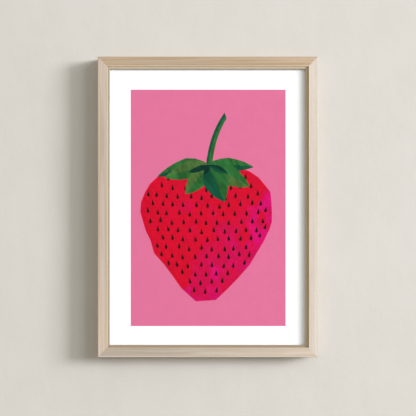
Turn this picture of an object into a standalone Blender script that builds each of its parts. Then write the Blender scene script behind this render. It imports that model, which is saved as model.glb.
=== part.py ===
"""A framed print: a 500 x 700 mm sheet behind glazing in a mitred wooden frame that hangs on a wall.

Metres, +Z up. The picture faces -Y and the wall is the plane Y = 0. The origin is the centre notch of the
top hanger, in the wall's plane, where a nail in the wall carries the frame.

Rail sections use two measures: u runs outwards from the sight edge, the inner edge that frames the picture,
and w runs forwards from the back of the rail.
"""

import math

import bmesh
import bpy
from mathutils import Matrix, Vector

MM = 0.001

# Fits
GAP = 0.3 * MM  # between pieces that touch
SHEET_ROOM = 1.0 * MM  # round the sheets, inside the rebate

# Sheets, from front to back
SHEET_WIDTH = 500.0 * MM
SHEET_HEIGHT = 700.0 * MM
GLAZING_THICKNESS = 2.0 * MM
GLAZING_EDGE_BEVEL = 0.3 * MM
PRINT_THICKNESS = 0.3 * MM
PANEL_THICKNESS = 3.0 * MM

# Rail section
RAIL_WIDTH = 30.0 * MM
RAIL_DEPTH = 30.0 * MM
REBATE_WIDTH = 6.0 * MM
LIP_DEPTH = 6.0 * MM  # from the face to the rebate's shelf
STEP_WIDTH = 5.0 * MM  # the flat step beside the picture
STEP_DROP = 3.0 * MM  # from the face to the step
STEP_EDGE_RADIUS = 0.6 * MM
INNER_ARRIS_RADIUS = 2.5 * MM
OUTER_ARRIS_RADIUS = 2.5 * MM
BACK_ARRIS_RADIUS = 0.8 * MM

# V-nails that draw each mitre together from the back
V_NAIL_HALF_ANGLE = math.radians(40.0)
V_NAIL_LEG = 7.0 * MM
V_NAIL_THICKNESS = 0.8 * MM
V_NAIL_DEPTH = 10.0 * MM
V_NAIL_SINK = 0.5 * MM
V_NAIL_INSET = 6.0 * MM  # from the rebate's wall to the inner nail's point
V_NAIL_EDGE = 3.0 * MM  # from the outer nail's legs to the rail's outer edge

# Flexible tabs that hold the back panel in
TABS_ON_SHORT_RAIL = 3
TABS_ON_LONG_RAIL = 4
TAB_WIDTH = 8.0 * MM
TAB_THICKNESS = 0.5 * MM
TAB_REACH = 9.0 * MM  # over the panel
TAB_BITE = 8.0 * MM  # in the wood
TAB_POINT = 3.5 * MM

# Sawtooth hangers
HANGER_LENGTH = 50.0 * MM
HANGER_HEIGHT = 10.0 * MM
HANGER_THICKNESS = 0.8 * MM
HANGER_END = 8.0 * MM  # flat part that the screw holds
HANGER_CRANK = 2.0 * MM
HANGER_RISE = 1.2 * MM
HANGER_CORNER_RADIUS = 2.5 * MM
TOOTH_PITCH = 3.0 * MM
TOOTH_DEPTH = 1.6 * MM
NOTCH_COUNT = 9

# Hanger screws
SCREW_HEAD_RADIUS = 2.5 * MM
SCREW_HEAD_HEIGHT = 1.0 * MM
SCREW_SHANK_RADIUS = 1.25 * MM
SCREW_SHANK_LENGTH = 12.0 * MM
SCREW_TIP_LENGTH = 2.5 * MM

# Pads that keep the frame off the wall
PAD_RADIUS = 5.0 * MM
PAD_THICKNESS = 2.7 * MM
PAD_EDGE_RADIUS = 0.5 * MM
PAD_INSET = 20.0 * MM  # from the sight opening's side, along the rail

# Smoothness
ARC_STEPS = 6
TURN_STEPS = 24

# Derived sizes
STAND_OFF = PAD_THICKNESS + GAP
SIGHT_WIDTH = SHEET_WIDTH + 2.0 * (SHEET_ROOM - REBATE_WIDTH)
SIGHT_HEIGHT = SHEET_HEIGHT + 2.0 * (SHEET_ROOM - REBATE_WIDTH)
SHELF_W = RAIL_DEPTH - LIP_DEPTH
STEP_W = RAIL_DEPTH - STEP_DROP
GLAZING_W = SHELF_W - GAP - GLAZING_THICKNESS
PRINT_W = GLAZING_W - GAP - PRINT_THICKNESS
PANEL_W = PRINT_W - GAP - PANEL_THICKNESS
TAB_W = PANEL_W - GAP - TAB_THICKNESS
RAIL_BACK_MIDDLE = 0.5 * (REBATE_WIDTH + RAIL_WIDTH)
V_NAIL_PLACES = (REBATE_WIDTH + V_NAIL_INSET, RAIL_WIDTH - V_NAIL_EDGE - V_NAIL_LEG)
HANGER_MIDDLE = 0.5 * HANGER_HEIGHT - TOOTH_DEPTH
HANGER_SCREW_X = 0.5 * (HANGER_LENGTH - HANGER_END)
HANGER_U = RAIL_BACK_MIDDLE - HANGER_MIDDLE
FRAME_CENTRE = Vector((0.0, -STAND_OFF, -HANGER_U - 0.5 * SIGHT_HEIGHT))
PAD_X = 0.5 * SIGHT_WIDTH - PAD_INSET

# Each rail: the turn about Y that brings it from the top to its side, the opening along it and across it,
# and how many tabs it carries
RAILS = {
    "top": (0.0, SIGHT_WIDTH, SIGHT_HEIGHT, TABS_ON_SHORT_RAIL),
    "right": (0.5 * math.pi, SIGHT_HEIGHT, SIGHT_WIDTH, TABS_ON_LONG_RAIL),
    "bottom": (math.pi, SIGHT_WIDTH, SIGHT_HEIGHT, TABS_ON_SHORT_RAIL),
    "left": (1.5 * math.pi, SIGHT_HEIGHT, SIGHT_WIDTH, TABS_ON_LONG_RAIL),
}
CORNERS = {
    "top_right": (0.0, (1.0, 1.0)),
    "bottom_right": (0.5 * math.pi, (1.0, -1.0)),
    "bottom_left": (math.pi, (-1.0, -1.0)),
    "top_left": (1.5 * math.pi, (-1.0, 1.0)),
}
HANGERS = {"top": "top", "side": "left"}


def clear_scene():
    """Removes the objects that the scene starts with."""
    for item in list(bpy.data.objects):
        bpy.data.objects.remove(item, do_unlink=True)


def finish(name, colour, roughness, metallic=0.0, alpha=1.0):
    """A Principled material with one colour."""
    material = bpy.data.materials.new(name)
    material.use_nodes = True
    shader = material.node_tree.nodes["Principled BSDF"]
    shader.inputs["Base Color"].default_value = (*colour, 1.0)
    shader.inputs["Roughness"].default_value = roughness
    shader.inputs["Metallic"].default_value = metallic
    shader.inputs["Alpha"].default_value = alpha
    return material


def about_y(angle):
    """The turn about Y that carries the top of the frame to another side."""
    return Matrix.Rotation(angle, 4, "Y")


def arc(centre, radius, start_degrees, end_degrees, steps=ARC_STEPS):
    """Points along an arc in a plane, both ends included."""
    points = []
    for step in range(steps + 1):
        angle = math.radians(start_degrees + (end_degrees - start_degrees) * step / steps)
        points.append((centre[0] + radius * math.cos(angle), centre[1] + radius * math.sin(angle)))
    return points


def loft(rings):
    """A closed mesh through rings of equally many points, capped at the first and the last."""
    mesh = bmesh.new()
    levels = [[mesh.verts.new(point) for point in ring] for ring in rings]
    for lower, upper in zip(levels, levels[1:]):
        for index in range(len(lower)):
            following = (index + 1) % len(lower)
            mesh.faces.new((lower[index], lower[following], upper[following], upper[index]))
    mesh.faces.new(levels[0])
    mesh.faces.new(levels[-1])
    bmesh.ops.recalc_face_normals(mesh, faces=mesh.faces)
    return mesh


def prism(outline, back, front):
    """A closed mesh of an XZ outline that runs forwards, towards -Y, from back to front."""
    return loft([[Vector((x, -w, z)) for x, z in outline] for w in (back, front)])


def slab(width, height, back, front):
    """A rectangular prism centred on the Y axis."""
    x = 0.5 * width
    z = 0.5 * height
    return prism(((-x, -z), (x, -z), (x, z), (-x, z)), back, front)


def turned(profile):
    """A closed mesh turned about the Y axis from (radius, w) points, whose ends lie on the axis."""
    mesh = bmesh.new()
    points = [mesh.verts.new((radius, -w, 0.0)) for radius, w in profile]
    edges = [mesh.edges.new(pair) for pair in zip(points, points[1:])]
    bmesh.ops.spin(
        mesh,
        geom=points + edges,
        cent=(0.0, 0.0, 0.0),
        axis=(0.0, 1.0, 0.0),
        angle=2.0 * math.pi,
        steps=TURN_STEPS,
        use_merge=True,
    )
    bmesh.ops.remove_doubles(mesh, verts=mesh.verts, dist=0.01 * MM)
    bmesh.ops.recalc_face_normals(mesh, faces=mesh.faces)
    return mesh


def placed(mesh, matrix):
    """The same mesh after a move."""
    bmesh.ops.transform(mesh, matrix=matrix, verts=mesh.verts)
    return mesh


def piece(name, mesh, material, root, matrix=None, smooth=False):
    """Links a mesh to the scene as one named piece of the frame."""
    data = bpy.data.meshes.new(name)
    mesh.to_mesh(data)
    mesh.free()
    data.materials.append(material)
    if smooth:
        data.shade_smooth()
        data.set_sharp_from_angle(angle=math.radians(35.0))
    item = bpy.data.objects.new(name, data)
    bpy.context.scene.collection.objects.link(item)
    item.parent = root
    item.matrix_basis = matrix or Matrix.Identity(4)
    return item


def cut(item, name, cutters, root, matrix):
    """Cuts a group of separate pockets out of a piece."""
    joined = bpy.data.meshes.new(name)
    group = bmesh.new()
    for cutter in cutters:
        part = bpy.data.meshes.new(name + "_part")
        cutter.to_mesh(part)
        cutter.free()
        group.from_mesh(part)
        bpy.data.meshes.remove(part)
    group.to_mesh(joined)
    group.free()
    guide = bpy.data.objects.new(name, joined)
    bpy.context.scene.collection.objects.link(guide)
    guide.parent = root
    guide.matrix_basis = matrix
    guide.hide_render = True
    guide.display_type = "WIRE"
    modifier = item.modifiers.new(name, "BOOLEAN")
    modifier.operation = "DIFFERENCE"
    modifier.solver = "EXACT"
    modifier.object = guide


def rail_section():
    """The rail's section as (u, w) points, from the rebate's back corner round the outside to the lip."""
    back = (RAIL_WIDTH - BACK_ARRIS_RADIUS, BACK_ARRIS_RADIUS)
    outer = (RAIL_WIDTH - OUTER_ARRIS_RADIUS, RAIL_DEPTH - OUTER_ARRIS_RADIUS)
    inner = (STEP_WIDTH + INNER_ARRIS_RADIUS, RAIL_DEPTH - INNER_ARRIS_RADIUS)
    sight = (STEP_EDGE_RADIUS, STEP_W - STEP_EDGE_RADIUS)
    section = [(REBATE_WIDTH, 0.0)]
    section += arc(back, BACK_ARRIS_RADIUS, -90.0, 0.0, 3)
    section += arc(outer, OUTER_ARRIS_RADIUS, 0.0, 90.0)
    section += arc(inner, INNER_ARRIS_RADIUS, 90.0, 180.0)
    section.append((STEP_WIDTH, STEP_W))
    section += arc(sight, STEP_EDGE_RADIUS, 90.0, 180.0, 3)
    section += [(0.0, SHELF_W), (REBATE_WIDTH, SHELF_W)]
    return section


def rail_mesh(along, across):
    """A rail on the top side of an opening, with a 45 degree mitre at each end."""
    mitre_room = 0.5 * GAP * math.sqrt(2.0)
    rings = []
    for end in (-1.0, 1.0):
        ring = []
        for u, w in rail_section():
            x = end * (0.5 * along + u - mitre_room)
            ring.append(Vector((x, -w, 0.5 * across + u)))
        rings.append(ring)
    return loft(rings)


def tab_places(along, count):
    """Where the tabs sit along a rail, evenly spread over the opening."""
    return [along * ((index + 0.5) / count - 0.5) for index in range(count)]


def tab_mesh(x, across):
    """A steel tab with its point in the rebate wall and its blunt end over the panel."""
    wall = 0.5 * across + REBATE_WIDTH
    half = 0.5 * TAB_WIDTH
    outline = (
        (x - half, wall - TAB_REACH),
        (x + half, wall - TAB_REACH),
        (x + half, wall + TAB_BITE - TAB_POINT),
        (x, wall + TAB_BITE),
        (x - half, wall + TAB_BITE - TAB_POINT),
    )
    return prism(outline, TAB_W, TAB_W + TAB_THICKNESS)


def tab_pocket(x, across):
    """The slot in the rebate wall that a tab is driven into."""
    wall = 0.5 * across + REBATE_WIDTH
    half = 0.5 * TAB_WIDTH + GAP
    outline = (
        (x - half, wall - TAB_REACH),
        (x + half, wall - TAB_REACH),
        (x + half, wall + TAB_BITE + GAP),
        (x - half, wall + TAB_BITE + GAP),
    )
    return prism(outline, TAB_W - GAP, TAB_W + TAB_THICKNESS + GAP)


def v_nail_mesh(place, room=0.0, mouth=0.0):
    """A V-nail about a mitre, its point at u = place. The pocket is the same with room and an open mouth."""
    half = 0.5 * V_NAIL_THICKNESS + room
    reach = V_NAIL_LEG + room
    point = Vector((place, place))
    outline = []
    for side in (1.0, -1.0):
        angle = 0.25 * math.pi + side * V_NAIL_HALF_ANGLE
        leg = Vector((math.cos(angle), math.sin(angle)))
        across = Vector((-leg.y, leg.x)) * side * half
        outer, inner = point + reach * leg + across, point + reach * leg - across
        outline += [outer, inner] if side > 0.0 else [inner, outer]
        if side > 0.0:
            outline.append(point + Vector((1.0, 1.0)) * half / math.sin(V_NAIL_HALF_ANGLE) / math.sqrt(2.0))
    outline.append(point - Vector((1.0, 1.0)) * half / math.sin(V_NAIL_HALF_ANGLE) / math.sqrt(2.0))
    return prism(outline, V_NAIL_SINK - mouth, V_NAIL_SINK + V_NAIL_DEPTH + room)


def v_nail_pockets(turn, along, across):
    """The pockets at both ends of a rail, in the rail's own place."""
    pockets = []
    for corner_turn, (side_x, side_z) in CORNERS.values():
        corner = Vector((0.5 * SIGHT_WIDTH * side_x, 0.0, 0.5 * SIGHT_HEIGHT * side_z))
        local = about_y(-turn) @ corner
        if local.z < 0.25 * across or abs(local.x) < 0.25 * along:
            continue
        for place in V_NAIL_PLACES:
            pocket = v_nail_mesh(place, room=GAP, mouth=V_NAIL_SINK + GAP)
            pockets.append(placed(pocket, Matrix.Translation(local) @ about_y(corner_turn - turn)))
    return pockets


def screw_mesh():
    """A dome-headed wood screw along Y, with the underside of its head at w = 0."""
    dome = [
        (SCREW_HEAD_RADIUS * math.sin(angle), -SCREW_HEAD_HEIGHT * math.cos(angle))
        for angle in (0.5 * math.pi * step / ARC_STEPS for step in range(ARC_STEPS + 1))
    ]
    shank = [
        (SCREW_SHANK_RADIUS, 0.0),
        (SCREW_SHANK_RADIUS, SCREW_SHANK_LENGTH - SCREW_TIP_LENGTH),
        (0.0, SCREW_SHANK_LENGTH),
    ]
    return turned(dome + shank)


def screw_bore(start, end):
    """A round clearance hole along Y for a screw's shank."""
    radius = SCREW_SHANK_RADIUS + GAP
    return turned([(0.0, start), (radius, start), (radius, end), (0.0, end)])


def hanger_stations():
    """Places along the hanger strip where its edge or its rise changes."""
    half = 0.5 * HANGER_LENGTH
    flat = half - HANGER_END
    rounding = [
        half - HANGER_CORNER_RADIUS * (1.0 - math.sin(0.5 * math.pi * step / ARC_STEPS))
        for step in range(ARC_STEPS + 1)
    ]
    teeth = [0.5 * TOOTH_PITCH * step for step in range(NOTCH_COUNT + 1)]
    positive = teeth + [flat - HANGER_CRANK, flat] + rounding
    return [-x for x in reversed(positive[1:])] + positive


def hanger_mesh():
    """A sawtooth hanger with its centre notch at the origin and its ends flat against w = 0."""
    half = 0.5 * HANGER_LENGTH
    flat = half - HANGER_END
    rings = []
    for x in hanger_stations():
        rise = HANGER_RISE * min(1.0, max(0.0, (flat - abs(x)) / HANGER_CRANK))
        past = max(0.0, abs(x) - half + HANGER_CORNER_RADIUS)
        trim = HANGER_CORNER_RADIUS - math.sqrt(max(0.0, HANGER_CORNER_RADIUS**2 - past**2))
        step = round(abs(x) / (0.5 * TOOTH_PITCH))
        in_notch = step < NOTCH_COUNT and step % 2 == 0 and abs(abs(x) - 0.5 * TOOTH_PITCH * step) < GAP
        low = 0.0 if in_notch else trim - TOOTH_DEPTH
        high = HANGER_HEIGHT - TOOTH_DEPTH - trim
        back = -rise - HANGER_THICKNESS
        rings.append([Vector((x, -w, z)) for w, z in ((-rise, low), (back, low), (back, high), (-rise, high))])
    return loft(rings)


def pad_mesh():
    """A round pad with an eased edge, its front at w = 0."""
    rim = PAD_RADIUS - PAD_EDGE_RADIUS
    edge = arc((rim, PAD_EDGE_RADIUS - PAD_THICKNESS), PAD_EDGE_RADIUS, -90.0, 0.0, 3)
    return turned([(0.0, -PAD_THICKNESS)] + edge + [(PAD_RADIUS, 0.0), (0.0, 0.0)])


def build_rails(root, wood, steel):
    """The four rails with their pockets, and the tabs and V-nails that sit in them."""
    for side, (turn, along, across, tab_count) in RAILS.items():
        matrix = about_y(turn)
        rail = piece(f"rail_{side}", rail_mesh(along, across), wood, root, matrix, smooth=True)
        cutters = v_nail_pockets(turn, along, across)
        for number, x in enumerate(tab_places(along, tab_count), start=1):
            cutters.append(tab_pocket(x, across))
            piece(f"tab_{side}_{number}", tab_mesh(x, across), steel, root, matrix)
        if side in HANGERS.values():
            for end in (-1.0, 1.0):
                place = Matrix.Translation((end * HANGER_SCREW_X, 0.0, 0.5 * across + RAIL_BACK_MIDDLE))
                bore = screw_bore(-GAP, SCREW_SHANK_LENGTH)
                cutters.append(placed(bore, place))
        cut(rail, f"pockets_{side}", cutters, root, matrix)
    for corner, (turn, (side_x, side_z)) in CORNERS.items():
        place = Matrix.Translation((0.5 * SIGHT_WIDTH * side_x, 0.0, 0.5 * SIGHT_HEIGHT * side_z))
        for number, point in enumerate(V_NAIL_PLACES, start=1):
            piece(f"v_nail_{corner}_{number}", v_nail_mesh(point), steel, root, place @ about_y(turn))


def build_sheets(root, glass, paper, board):
    """The glazing, the print and the back panel, which share the rebate."""
    glazing = slab(SHEET_WIDTH, SHEET_HEIGHT, GLAZING_W, GLAZING_W + GLAZING_THICKNESS)
    pane = piece("glazing", glazing, glass, root)
    bevel = pane.modifiers.new("edge", "BEVEL")
    bevel.width = GLAZING_EDGE_BEVEL
    bevel.segments = 1
    sheet = slab(SHEET_WIDTH, SHEET_HEIGHT, PRINT_W, PRINT_W + PRINT_THICKNESS)
    piece("print", sheet, paper, root)
    panel = slab(SHEET_WIDTH, SHEET_HEIGHT, PANEL_W, PANEL_W + PANEL_THICKNESS)
    piece("back_panel", panel, board, root)


def build_hangers(root, steel):
    """The hangers for upright and sideways hanging, each with two screws."""
    for name, side in HANGERS.items():
        turn, _, across, _ = RAILS[side]
        seat = about_y(turn) @ Matrix.Translation((0.0, GAP, 0.5 * across + HANGER_U))
        hanger = piece(f"hanger_{name}", hanger_mesh(), steel, root, seat)
        holes = []
        for number, end in enumerate((-1.0, 1.0), start=1):
            place = Matrix.Translation((end * HANGER_SCREW_X, 0.0, HANGER_MIDDLE))
            holes.append(placed(screw_bore(-HANGER_THICKNESS - GAP, GAP), place))
            head = Matrix.Translation((0.0, HANGER_THICKNESS + GAP, 0.0))
            piece(f"hanger_{name}_screw_{number}", screw_mesh(), steel, root, seat @ place @ head, smooth=True)
        cut(hanger, f"holes_{name}", holes, root, seat)


def build_pads(root, felt):
    """A pad near each corner, on the back of the top and bottom rails."""
    height = 0.5 * SIGHT_HEIGHT + RAIL_BACK_MIDDLE
    for level, z in (("top", height), ("bottom", -height)):
        for side, x in (("left", -PAD_X), ("right", PAD_X)):
            place = Matrix.Translation((x, GAP, z))
            piece(f"pad_{level}_{side}", pad_mesh(), felt, root, place, smooth=True)


def build():
    """The whole frame, hung from an empty at the middle of its back."""
    clear_scene()
    root = bpy.data.objects.new("frame_centre", None)
    bpy.context.scene.collection.objects.link(root)
    root.location = FRAME_CENTRE
    wood = finish("pale_wood", (0.66, 0.53, 0.40), 0.55)
    glass = finish("clear_glazing", (0.95, 0.97, 0.97), 0.03, alpha=0.15)
    paper = finish("print_paper", (0.90, 0.89, 0.88), 0.75)
    board = finish("fibreboard", (0.42, 0.29, 0.18), 0.8)
    steel = finish("plated_steel", (0.62, 0.62, 0.60), 0.35, metallic=1.0)
    felt = finish("felt_pad", (0.35, 0.34, 0.33), 0.95)
    build_rails(root, wood, steel)
    build_sheets(root, glass, paper, board)
    build_hangers(root, steel)
    build_pads(root, felt)


build()
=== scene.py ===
"""The looks of a framed print: a cut-paper strawberry behind glazing, in a mitred frame of pale limed wood.

Metres, +Z up. The picture faces -Y and the wall is the plane Y = 0. A rail's section is drawn in u, outwards
from the sight edge, and w, forwards from the back of the rails.
"""

import logging
import math
import random
from collections.abc import Iterable, Sequence
from dataclasses import dataclass, field
from enum import Enum

import bmesh
import bpy
from mathutils import Matrix, Vector, geometry

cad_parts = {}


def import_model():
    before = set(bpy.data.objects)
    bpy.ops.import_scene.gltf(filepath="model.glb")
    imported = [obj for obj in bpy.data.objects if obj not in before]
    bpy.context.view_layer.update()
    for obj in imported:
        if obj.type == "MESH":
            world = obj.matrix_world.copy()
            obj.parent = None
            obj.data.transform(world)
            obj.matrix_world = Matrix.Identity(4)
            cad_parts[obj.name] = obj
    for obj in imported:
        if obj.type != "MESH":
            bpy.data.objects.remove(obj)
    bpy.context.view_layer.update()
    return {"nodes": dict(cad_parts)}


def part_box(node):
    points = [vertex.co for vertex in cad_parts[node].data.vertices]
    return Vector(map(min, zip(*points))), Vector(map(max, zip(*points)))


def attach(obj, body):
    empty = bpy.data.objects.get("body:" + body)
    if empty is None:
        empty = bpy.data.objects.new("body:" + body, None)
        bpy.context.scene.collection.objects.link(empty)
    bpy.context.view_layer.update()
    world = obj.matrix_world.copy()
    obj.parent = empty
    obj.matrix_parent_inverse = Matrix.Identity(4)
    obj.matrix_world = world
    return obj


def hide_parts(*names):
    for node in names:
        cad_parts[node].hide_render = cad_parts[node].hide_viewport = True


MM = 0.001
BODY = "root"
MERGE = 0.01 * MM  # points closer than this become one
LOG = logging.getLogger("framed_print")

Colour = tuple[float, float, float, float]
Point = tuple[float, float]
Piece = bpy.types.Object
Material = bpy.types.Material
Socket = bpy.types.NodeSocket
Solid = bmesh.types.BMesh


# ---------------------------------------------------------------------------------------------------------
# Small tools
# ---------------------------------------------------------------------------------------------------------


def paint(code: str) -> Colour:
    """A linear colour from a paint code.

    Args:
        code: six hexadecimal digits, such as D8C4A0.

    Returns:
        The colour, with full cover.
    """
    channels = [int(code[place : place + 2], 16) / 255.0 for place in (0, 2, 4)]
    linear = [c / 12.92 if c <= 0.04045 else ((c + 0.055) / 1.055) ** 2.4 for c in channels]
    return (*linear, 1.0)


def about_y(angle: float) -> Matrix:
    """The turn about Y that carries the top of the frame to another side."""
    return Matrix.Rotation(angle, 4, "Y")


def arc(centre: Point, radius: float, start: float, end: float, steps: int) -> list[Point]:
    """Points along an arc.

    Args:
        centre: the arc's middle.
        radius: its radius.
        start: the angle of its first point, in degrees.
        end: the angle of its last point, in degrees.
        steps: how many chords it has.

    Returns:
        The points, both ends included.
    """
    angles = [math.radians(start + (end - start) * step / steps) for step in range(steps + 1)]
    return [(centre[0] + radius * math.cos(a), centre[1] + radius * math.sin(a)) for a in angles]


def loft(rings: Sequence[Sequence[Vector]]) -> Solid:
    """Skins rings of equally many points and caps both ends.

    Args:
        rings: the rings in order.

    Returns:
        A closed mesh.
    """
    mesh = bmesh.new()
    levels = [[mesh.verts.new(point) for point in ring] for ring in rings]
    for lower, upper in zip(levels, levels[1:]):
        for index, vertex in enumerate(lower):
            following = (index + 1) % len(lower)
            mesh.faces.new((vertex, lower[following], upper[following], upper[index]))
    mesh.faces.new(levels[0])
    mesh.faces.new(levels[-1])
    bmesh.ops.recalc_face_normals(mesh, faces=mesh.faces)
    return mesh


def prism(outline: Iterable[Point], back: float, front: float) -> Solid:
    """A closed mesh of an XZ outline.

    Args:
        outline: its corners as (x, z).
        back: the w of its back face.
        front: the w of its front face.

    Returns:
        The mesh.
    """
    corners = list(outline)
    return loft([[Vector((x, -w, z)) for x, z in corners] for w in (back, front)])


def turned(profile: Sequence[Point], steps: int) -> Solid:
    """A closed mesh turned about the Y axis.

    Args:
        profile: (radius, w) points whose two ends lie on the axis.
        steps: how many sides it has.

    Returns:
        The mesh, whose parts come in the same order on every run.
    """
    mesh = bmesh.new()
    angles = [2.0 * math.pi * step / steps for step in range(steps)]
    rings = []
    for radius, w in profile[1:-1]:
        rings.append([mesh.verts.new((radius * math.cos(a), -w, radius * math.sin(a))) for a in angles])
    tips = [mesh.verts.new((0.0, -w, 0.0)) for _, w in (profile[0], profile[-1])]
    for index in range(steps):
        following = (index + 1) % steps
        for lower, upper in zip(rings, rings[1:]):
            mesh.faces.new((lower[index], lower[following], upper[following], upper[index]))
        for tip, ring in zip(tips, (rings[0], rings[-1])):
            mesh.faces.new((tip, ring[index], ring[following]))
    bmesh.ops.recalc_face_normals(mesh, faces=mesh.faces)
    return mesh


def as_object(name: str, mesh: Solid | bpy.types.Mesh) -> Piece:
    """Links a mesh to the scene.

    Args:
        name: the object's name.
        mesh: its shape, already in place. A bmesh is freed.

    Returns:
        The object, at the origin.
    """
    if isinstance(mesh, Solid):
        data = bpy.data.meshes.new(name)
        mesh.to_mesh(data)
        mesh.free()
    else:
        data = mesh
    item = bpy.data.objects.new(name, data)
    bpy.context.scene.collection.objects.link(item)
    return item


def settle(item: Piece) -> Piece:
    """Turns an object's modifiers into plain mesh.

    Args:
        item: the object.

    Returns:
        The same object, with the evaluated mesh and no modifiers.
    """
    bpy.context.view_layer.update()
    evaluated = item.evaluated_get(bpy.context.evaluated_depsgraph_get())
    mesh = bpy.data.meshes.new_from_object(evaluated)
    item.modifiers.clear()
    item.data = mesh
    mesh.name = item.name
    return item


def shade(item: Piece, degrees: float = 28.0) -> Piece:
    """Shades an object smooth, with sharp edges above an angle.

    Args:
        item: the object.
        degrees: the angle.

    Returns:
        The same object.
    """
    item.data.shade_smooth()
    item.data.set_sharp_from_angle(angle=math.radians(degrees))
    return item


def eased(item: Piece, width: float) -> Piece:
    """Rounds an object's hard edges with two faces each.

    Args:
        item: the object.
        width: the rounding's width.

    Returns:
        The same object, as plain mesh.
    """
    bevel = item.modifiers.new("ease", "BEVEL")
    bevel.width = width
    bevel.segments = 2
    bevel.limit_method = "ANGLE"
    bevel.angle_limit = math.radians(30.0)
    bevel.use_clamp_overlap = True
    return settle(item)


def carved(item: Piece, cutters: Sequence[Solid]) -> Piece:
    """Cuts separate pockets out of an object.

    Args:
        item: the object.
        cutters: closed meshes that don't touch each other. They are freed.

    Returns:
        The same object, as plain mesh.
    """
    group = bmesh.new()
    for cutter in cutters:
        part = bpy.data.meshes.new("cutter")
        cutter.to_mesh(part)
        cutter.free()
        group.from_mesh(part)
        bpy.data.meshes.remove(part)
    guide = as_object("cutters", group)
    boolean = item.modifiers.new("pockets", "BOOLEAN")
    boolean.operation = "DIFFERENCE"
    boolean.solver = "EXACT"
    boolean.object = guide
    settle(item)
    bpy.data.objects.remove(guide, do_unlink=True)
    return item


# ---------------------------------------------------------------------------------------------------------
# Node trees
# ---------------------------------------------------------------------------------------------------------


class Graph:
    """Adds nodes to a node tree and wires them."""

    def __init__(self, tree: bpy.types.NodeTree) -> None:
        """Takes the tree that the nodes go in."""
        self.tree = tree

    def node(self, kind: str, inputs: dict | None = None, **settings: object) -> bpy.types.Node:
        """Adds a node.

        Args:
            kind: the node's type.
            inputs: what goes into its sockets, by name or by place: a socket to link, or a value.
            settings: the node's own options.

        Returns:
            The node.
        """
        node = self.tree.nodes.new(kind)
        for name, value in settings.items():
            setattr(node, name, value)
        for key, value in (inputs or {}).items():
            if isinstance(value, Socket):
                self.tree.links.new(value, node.inputs[key])
            else:
                node.inputs[key].default_value = value
        return node

    def math(self, operation: str, *values: object) -> Socket:
        """The result of a Math node on these values."""
        return self.node("ShaderNodeMath", dict(enumerate(values)), operation=operation).outputs[0]

    def plus(self, first: object, second: object) -> Socket:
        """The sum of two values."""
        return self.math("ADD", first, second)

    def minus(self, first: object, second: object) -> Socket:
        """The first value less the second."""
        return self.math("SUBTRACT", first, second)

    def times(self, first: object, second: object) -> Socket:
        """The product of two values."""
        return self.math("MULTIPLY", first, second)

    def vector(self, operation: str, *values: object) -> Socket:
        """The vector result of a Vector Math node on these values."""
        return self.node("ShaderNodeVectorMath", dict(enumerate(values)), operation=operation).outputs[0]

    def scaled(self, vector: object, factor: object) -> Socket:
        """A vector or a colour times a value."""
        return self.node("ShaderNodeVectorMath", {0: vector, "Scale": factor}, operation="SCALE").outputs[0]

    def parts(self, vector: Socket) -> Sequence[Socket]:
        """The X, Y and Z of a vector."""
        return self.node("ShaderNodeSeparateXYZ", {0: vector}).outputs[:3]

    def join(self, x: object, y: object, z: object) -> Socket:
        """A vector from three values."""
        return self.node("ShaderNodeCombineXYZ", {0: x, 1: y, 2: z}).outputs[0]

    def span(
        self, value: object, low: object, high: object, start: object = 0.0, end: object = 1.0
    ) -> Socket:
        """A value carried smoothly from low..high to start..end, and held at both ends."""
        inputs = {"Value": value, "From Min": low, "From Max": high, "To Min": start, "To Max": end}
        return self.node("ShaderNodeMapRange", inputs, interpolation_type="SMOOTHSTEP").outputs["Result"]

    def blend(self, factor: object, first: object, second: object) -> Socket:
        """Two colours mixed."""
        inputs = {0: factor, 6: first, 7: second}
        return self.node("ShaderNodeMix", inputs, data_type="RGBA", clamp_factor=True).outputs[2]

    def noise(self, vector: object, scale: object, detail: float = 3.0, roughness: float = 0.55) -> Socket:
        """A noise value from 0 to 1."""
        inputs = {"Vector": vector, "Scale": scale, "Detail": detail, "Roughness": roughness}
        return self.node("ShaderNodeTexNoise", inputs).outputs[0]


class ShaderGroup:
    """A shader node group with named inputs and outputs, built once and placed in each material."""

    def __init__(self, name: str, inputs: dict[str, tuple[str, object]], outputs: dict[str, str]) -> None:
        """Makes the group's tree and its sockets.

        Args:
            name: the group's name.
            inputs: the kind and the first value of each input.
            outputs: the kind of each output.
        """
        self.tree = bpy.data.node_groups.new(name, "ShaderNodeTree")
        for socket, (kind, value) in inputs.items():
            made = self.tree.interface.new_socket(socket, in_out="INPUT", socket_type=f"NodeSocket{kind}")
            if value is not None:
                made.default_value = value
        for socket, kind in outputs.items():
            self.tree.interface.new_socket(socket, in_out="OUTPUT", socket_type=f"NodeSocket{kind}")
        self.graph = Graph(self.tree)
        self.inside = self.graph.node("NodeGroupInput").outputs
        self.result = self.graph.node("NodeGroupOutput").inputs

    def give(self, output: str, value: Socket) -> None:
        """Links a value to one of the group's outputs."""
        self.tree.links.new(value, self.result[output])

    def place(self, graph: Graph, values: dict[str, object]) -> bpy.types.NodeOutputs:
        """Places the group in a material with its own values, and returns its outputs."""
        return graph.node("ShaderNodeGroup", values, node_tree=self.tree).outputs


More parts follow.
